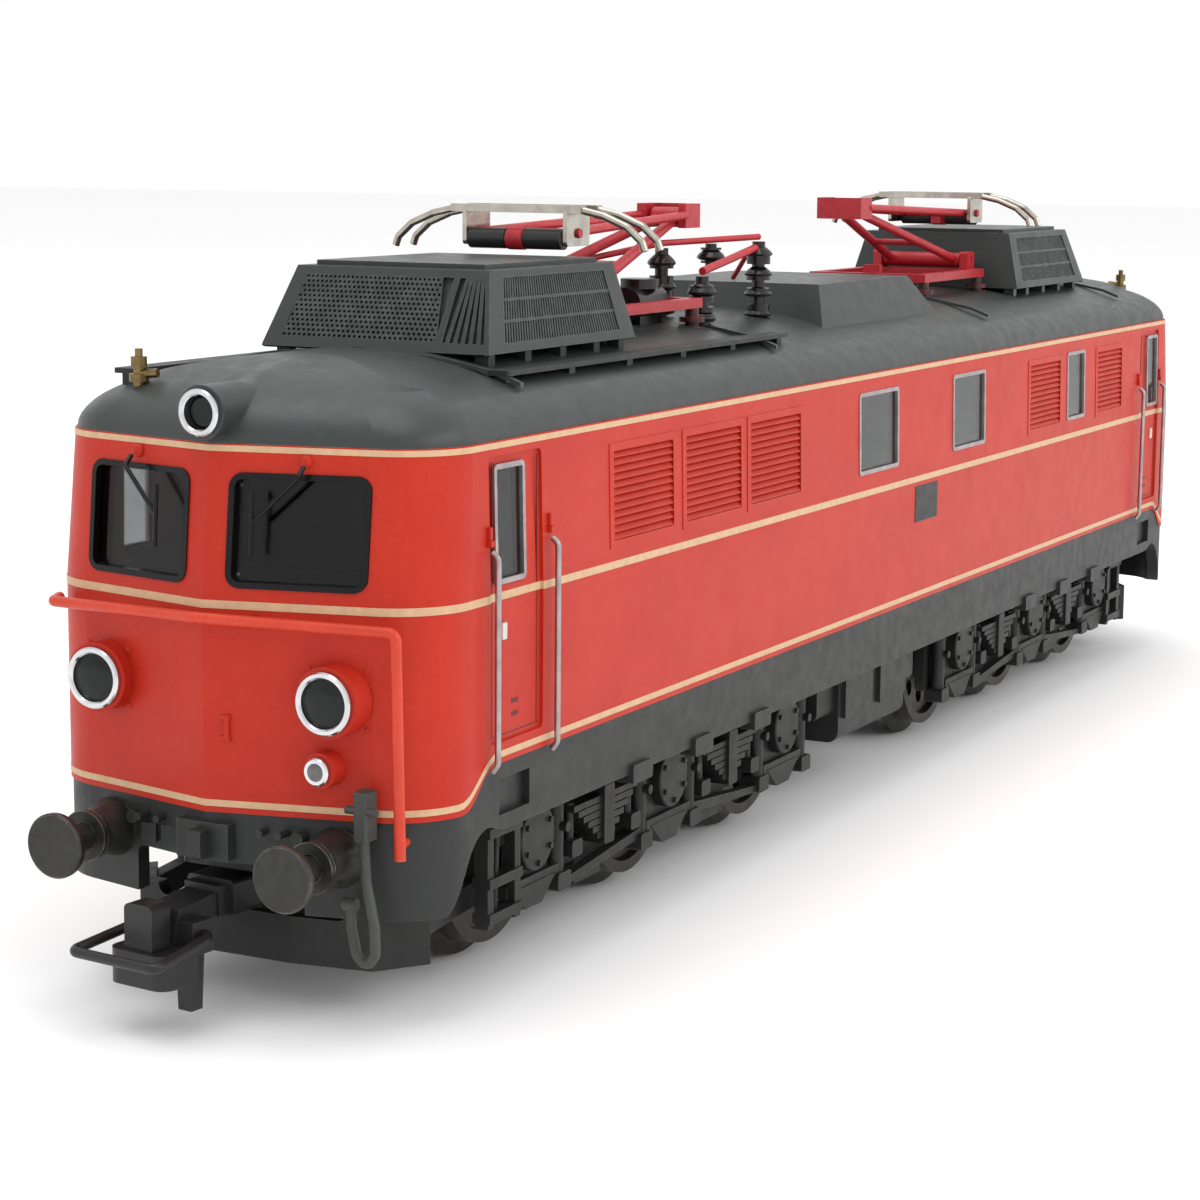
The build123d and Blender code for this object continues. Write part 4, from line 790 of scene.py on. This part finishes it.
def rail_brackets():
    """Small red brackets over the door rails, and the latch on the nose."""
    brackets = Solid()
    for x in DOOR_RAIL_X:
        for side in (-1, 1):
            foot = sorted((side * (SIDE_Y - 0.1), side * (SIDE_Y + 0.32)))
            stem = sorted((side * (SIDE_Y - 0.15), side * (SIDE_Y + 0.2)))
            brackets.block((x - 0.28, x + 0.28), foot, (35.6, 36.1))
            brackets.block((x - 0.2, x + 0.2), stem, (36.1, 37.1))
    wall = -NOSE_X + NOSE_SLOPE * LATCH_Y
    brackets.block((wall - 0.3, wall + 0.1), (-2.1, -1.7), (21.7, 23.4))
    for z in (21.5, 23.1):
        brackets.block((wall - 0.22, wall + 0.1), (-2.15, -1.2), (z, z + 0.4))
    brackets.turned().piece("red_brackets", MATERIALS["body_red"], slot="body_red", soft=0.06)


def lamp_glasses():
    """Domed glass of the tail lamp, and the dark bowls of the headlamps."""
    tail, bowls = Solid(), Solid()
    dome = [(0.0, 0.74), (0.75, 0.74), (0.93, 0.5), (1.0, 0.2)]
    back, tip = TAIL_LAMP_X
    tail.lathe((back, TAIL_LAMP_Y, TAIL_LAMP_Z), (tip, TAIL_LAMP_Y, TAIL_LAMP_Z), dome)
    bowl = [(0.0, 1.9), (0.6, 1.9), (0.92, 1.5), (1.0, 0.5)]
    front = HEADLAMP_X + 0.22
    for y in (-HEADLAMP_Y, HEADLAMP_Y):
        bowls.lathe((front + 0.5, y, HEADLAMP_Z), (front, y, HEADLAMP_Z), bowl, 40)
    tail.turned().piece("tail_lamp_lenses", TAIL_LENS, slot="lamp_glass", smooth=True)
    bowls.turned().piece("lamp_bowls", MATERIALS["lamp_glass"], slot="lamp_glass", smooth=True)


def front_bumps():
    """Wiper pivots over the windscreens and bolts round the headlamps."""
    bumps = Solid()
    pivot = [(0.0, 0.5), (0.7, 0.5), (0.92, 0.4), (1.0, 0.25)]
    for y in (-WIPER_Y, WIPER_Y):
        x = -nose_x(WIPER_Z) + NOSE_SLOPE * abs(y)
        bumps.lathe((x + 0.2, y, WIPER_Z), (x - 0.42, y, WIPER_Z), pivot, 16)
    bolt = [(0.0, 0.22), (0.8, 0.22), (1.0, 0.14)]
    for y in (-HEADLAMP_Y, HEADLAMP_Y):
        for k in range(4):
            angle = math.pi / 4 + k * math.pi / 2
            by = y + HEADLAMP_BOLT_CIRCLE * math.cos(angle)
            bz = HEADLAMP_Z + HEADLAMP_BOLT_CIRCLE * math.sin(angle)
            x = -NOSE_X + NOSE_SLOPE * abs(by)
            bumps.lathe((x + 0.2, by, bz), (x - 0.16, by, bz), bolt, 12)
    bumps.turned().piece("front_bumps", MATERIALS["body_red"], slot="body_red", smooth=True)


stripes()
louvres()
cowl()
roof_seams()
pantograph_heads()
door_fittings()
side_plates()
lamp_glasses()
front_bumps()
insulator_bells()
rail_brackets()

# ---------------------------------------------------------------- stage, light, camera


def stage():
    """Plain pale floor."""
    mesh = bpy.data.meshes.new("floor")
    half = 3.0  # metres
    corners = [(-half, -half, 0), (half, -half, 0), (half, half, 0), (-half, half, 0)]
    mesh.from_pydata(corners, [], [(0, 1, 2, 3)])
    floor = bpy.data.objects.new("floor", mesh)
    bpy.context.scene.collection.objects.link(floor)
    finish = Finish("floor_paper", (0.95, 0.95, 0.95, 1.0), 0.9, specular=0.1)
    mesh.materials.append(finish.mottle((0.94, 0.94, 0.94, 1.0), 60.0, 0.3).done())


def soft_light(name, place, aim, size, power):
    """Rectangular softbox turned towards aim; places and sizes in metres, power in watts."""
    data = bpy.data.lights.new(name, "AREA")
    data.shape = "RECTANGLE"
    data.size, data.size_y = size
    data.energy = power
    light = bpy.data.objects.new(name, data)
    light.location = place
    light.rotation_mode = "QUATERNION"
    light.rotation_quaternion = (Vector(aim) - Vector(place)).to_track_quat("-Z", "Y")
    bpy.context.scene.collection.objects.link(light)


def lighting():
    """White surroundings with two softboxes, the stronger on the side that the camera sees."""
    world = bpy.data.worlds.new("studio")
    bpy.context.scene.world = world
    world.use_nodes = True
    world.node_tree.nodes["Background"].inputs[0].default_value = (1.0, 1.0, 1.0, 1.0)
    world.node_tree.nodes["Background"].inputs[1].default_value = 1.0
    soft_light("side_softbox", (0.1, -0.9, 0.55), (0, 0, 0.03), (1.0, 0.6), 3.8)
    soft_light("top_softbox", (-0.1, 0.1, 0.9), (0, 0, 0.03), (0.9, 0.5), 3.0)


def camera():
    """Three-quarter view of the near end, as the photograph is taken."""
    yaw, pitch, roll = (math.radians(a) for a in (YAW, PITCH, ROLL))
    ahead = Vector((math.cos(yaw) * math.cos(pitch), math.sin(yaw) * math.cos(pitch), -math.sin(pitch)))
    right = Vector((math.sin(yaw), -math.cos(yaw), 0.0))
    up = right.cross(ahead)
    right_rolled = right * math.cos(roll) + up * math.sin(roll)
    up_rolled = up * math.cos(roll) - right * math.sin(roll)
    data = bpy.data.cameras.new("camera")
    data.sensor_width = 36.0
    data.lens = LENS
    data.clip_start, data.clip_end = 0.01, 20.0
    eye = bpy.data.objects.new("camera", data)
    turn = Matrix((right_rolled, up_rolled, -ahead)).transposed()
    eye.matrix_world = Matrix.Translation(Vector(EYE) * MM) @ turn.to_4x4()
    bpy.context.scene.collection.objects.link(eye)
    bpy.context.scene.camera = eye


stage()
lighting()
camera()
bpy.context.scene.view_settings.view_transform = "Standard"
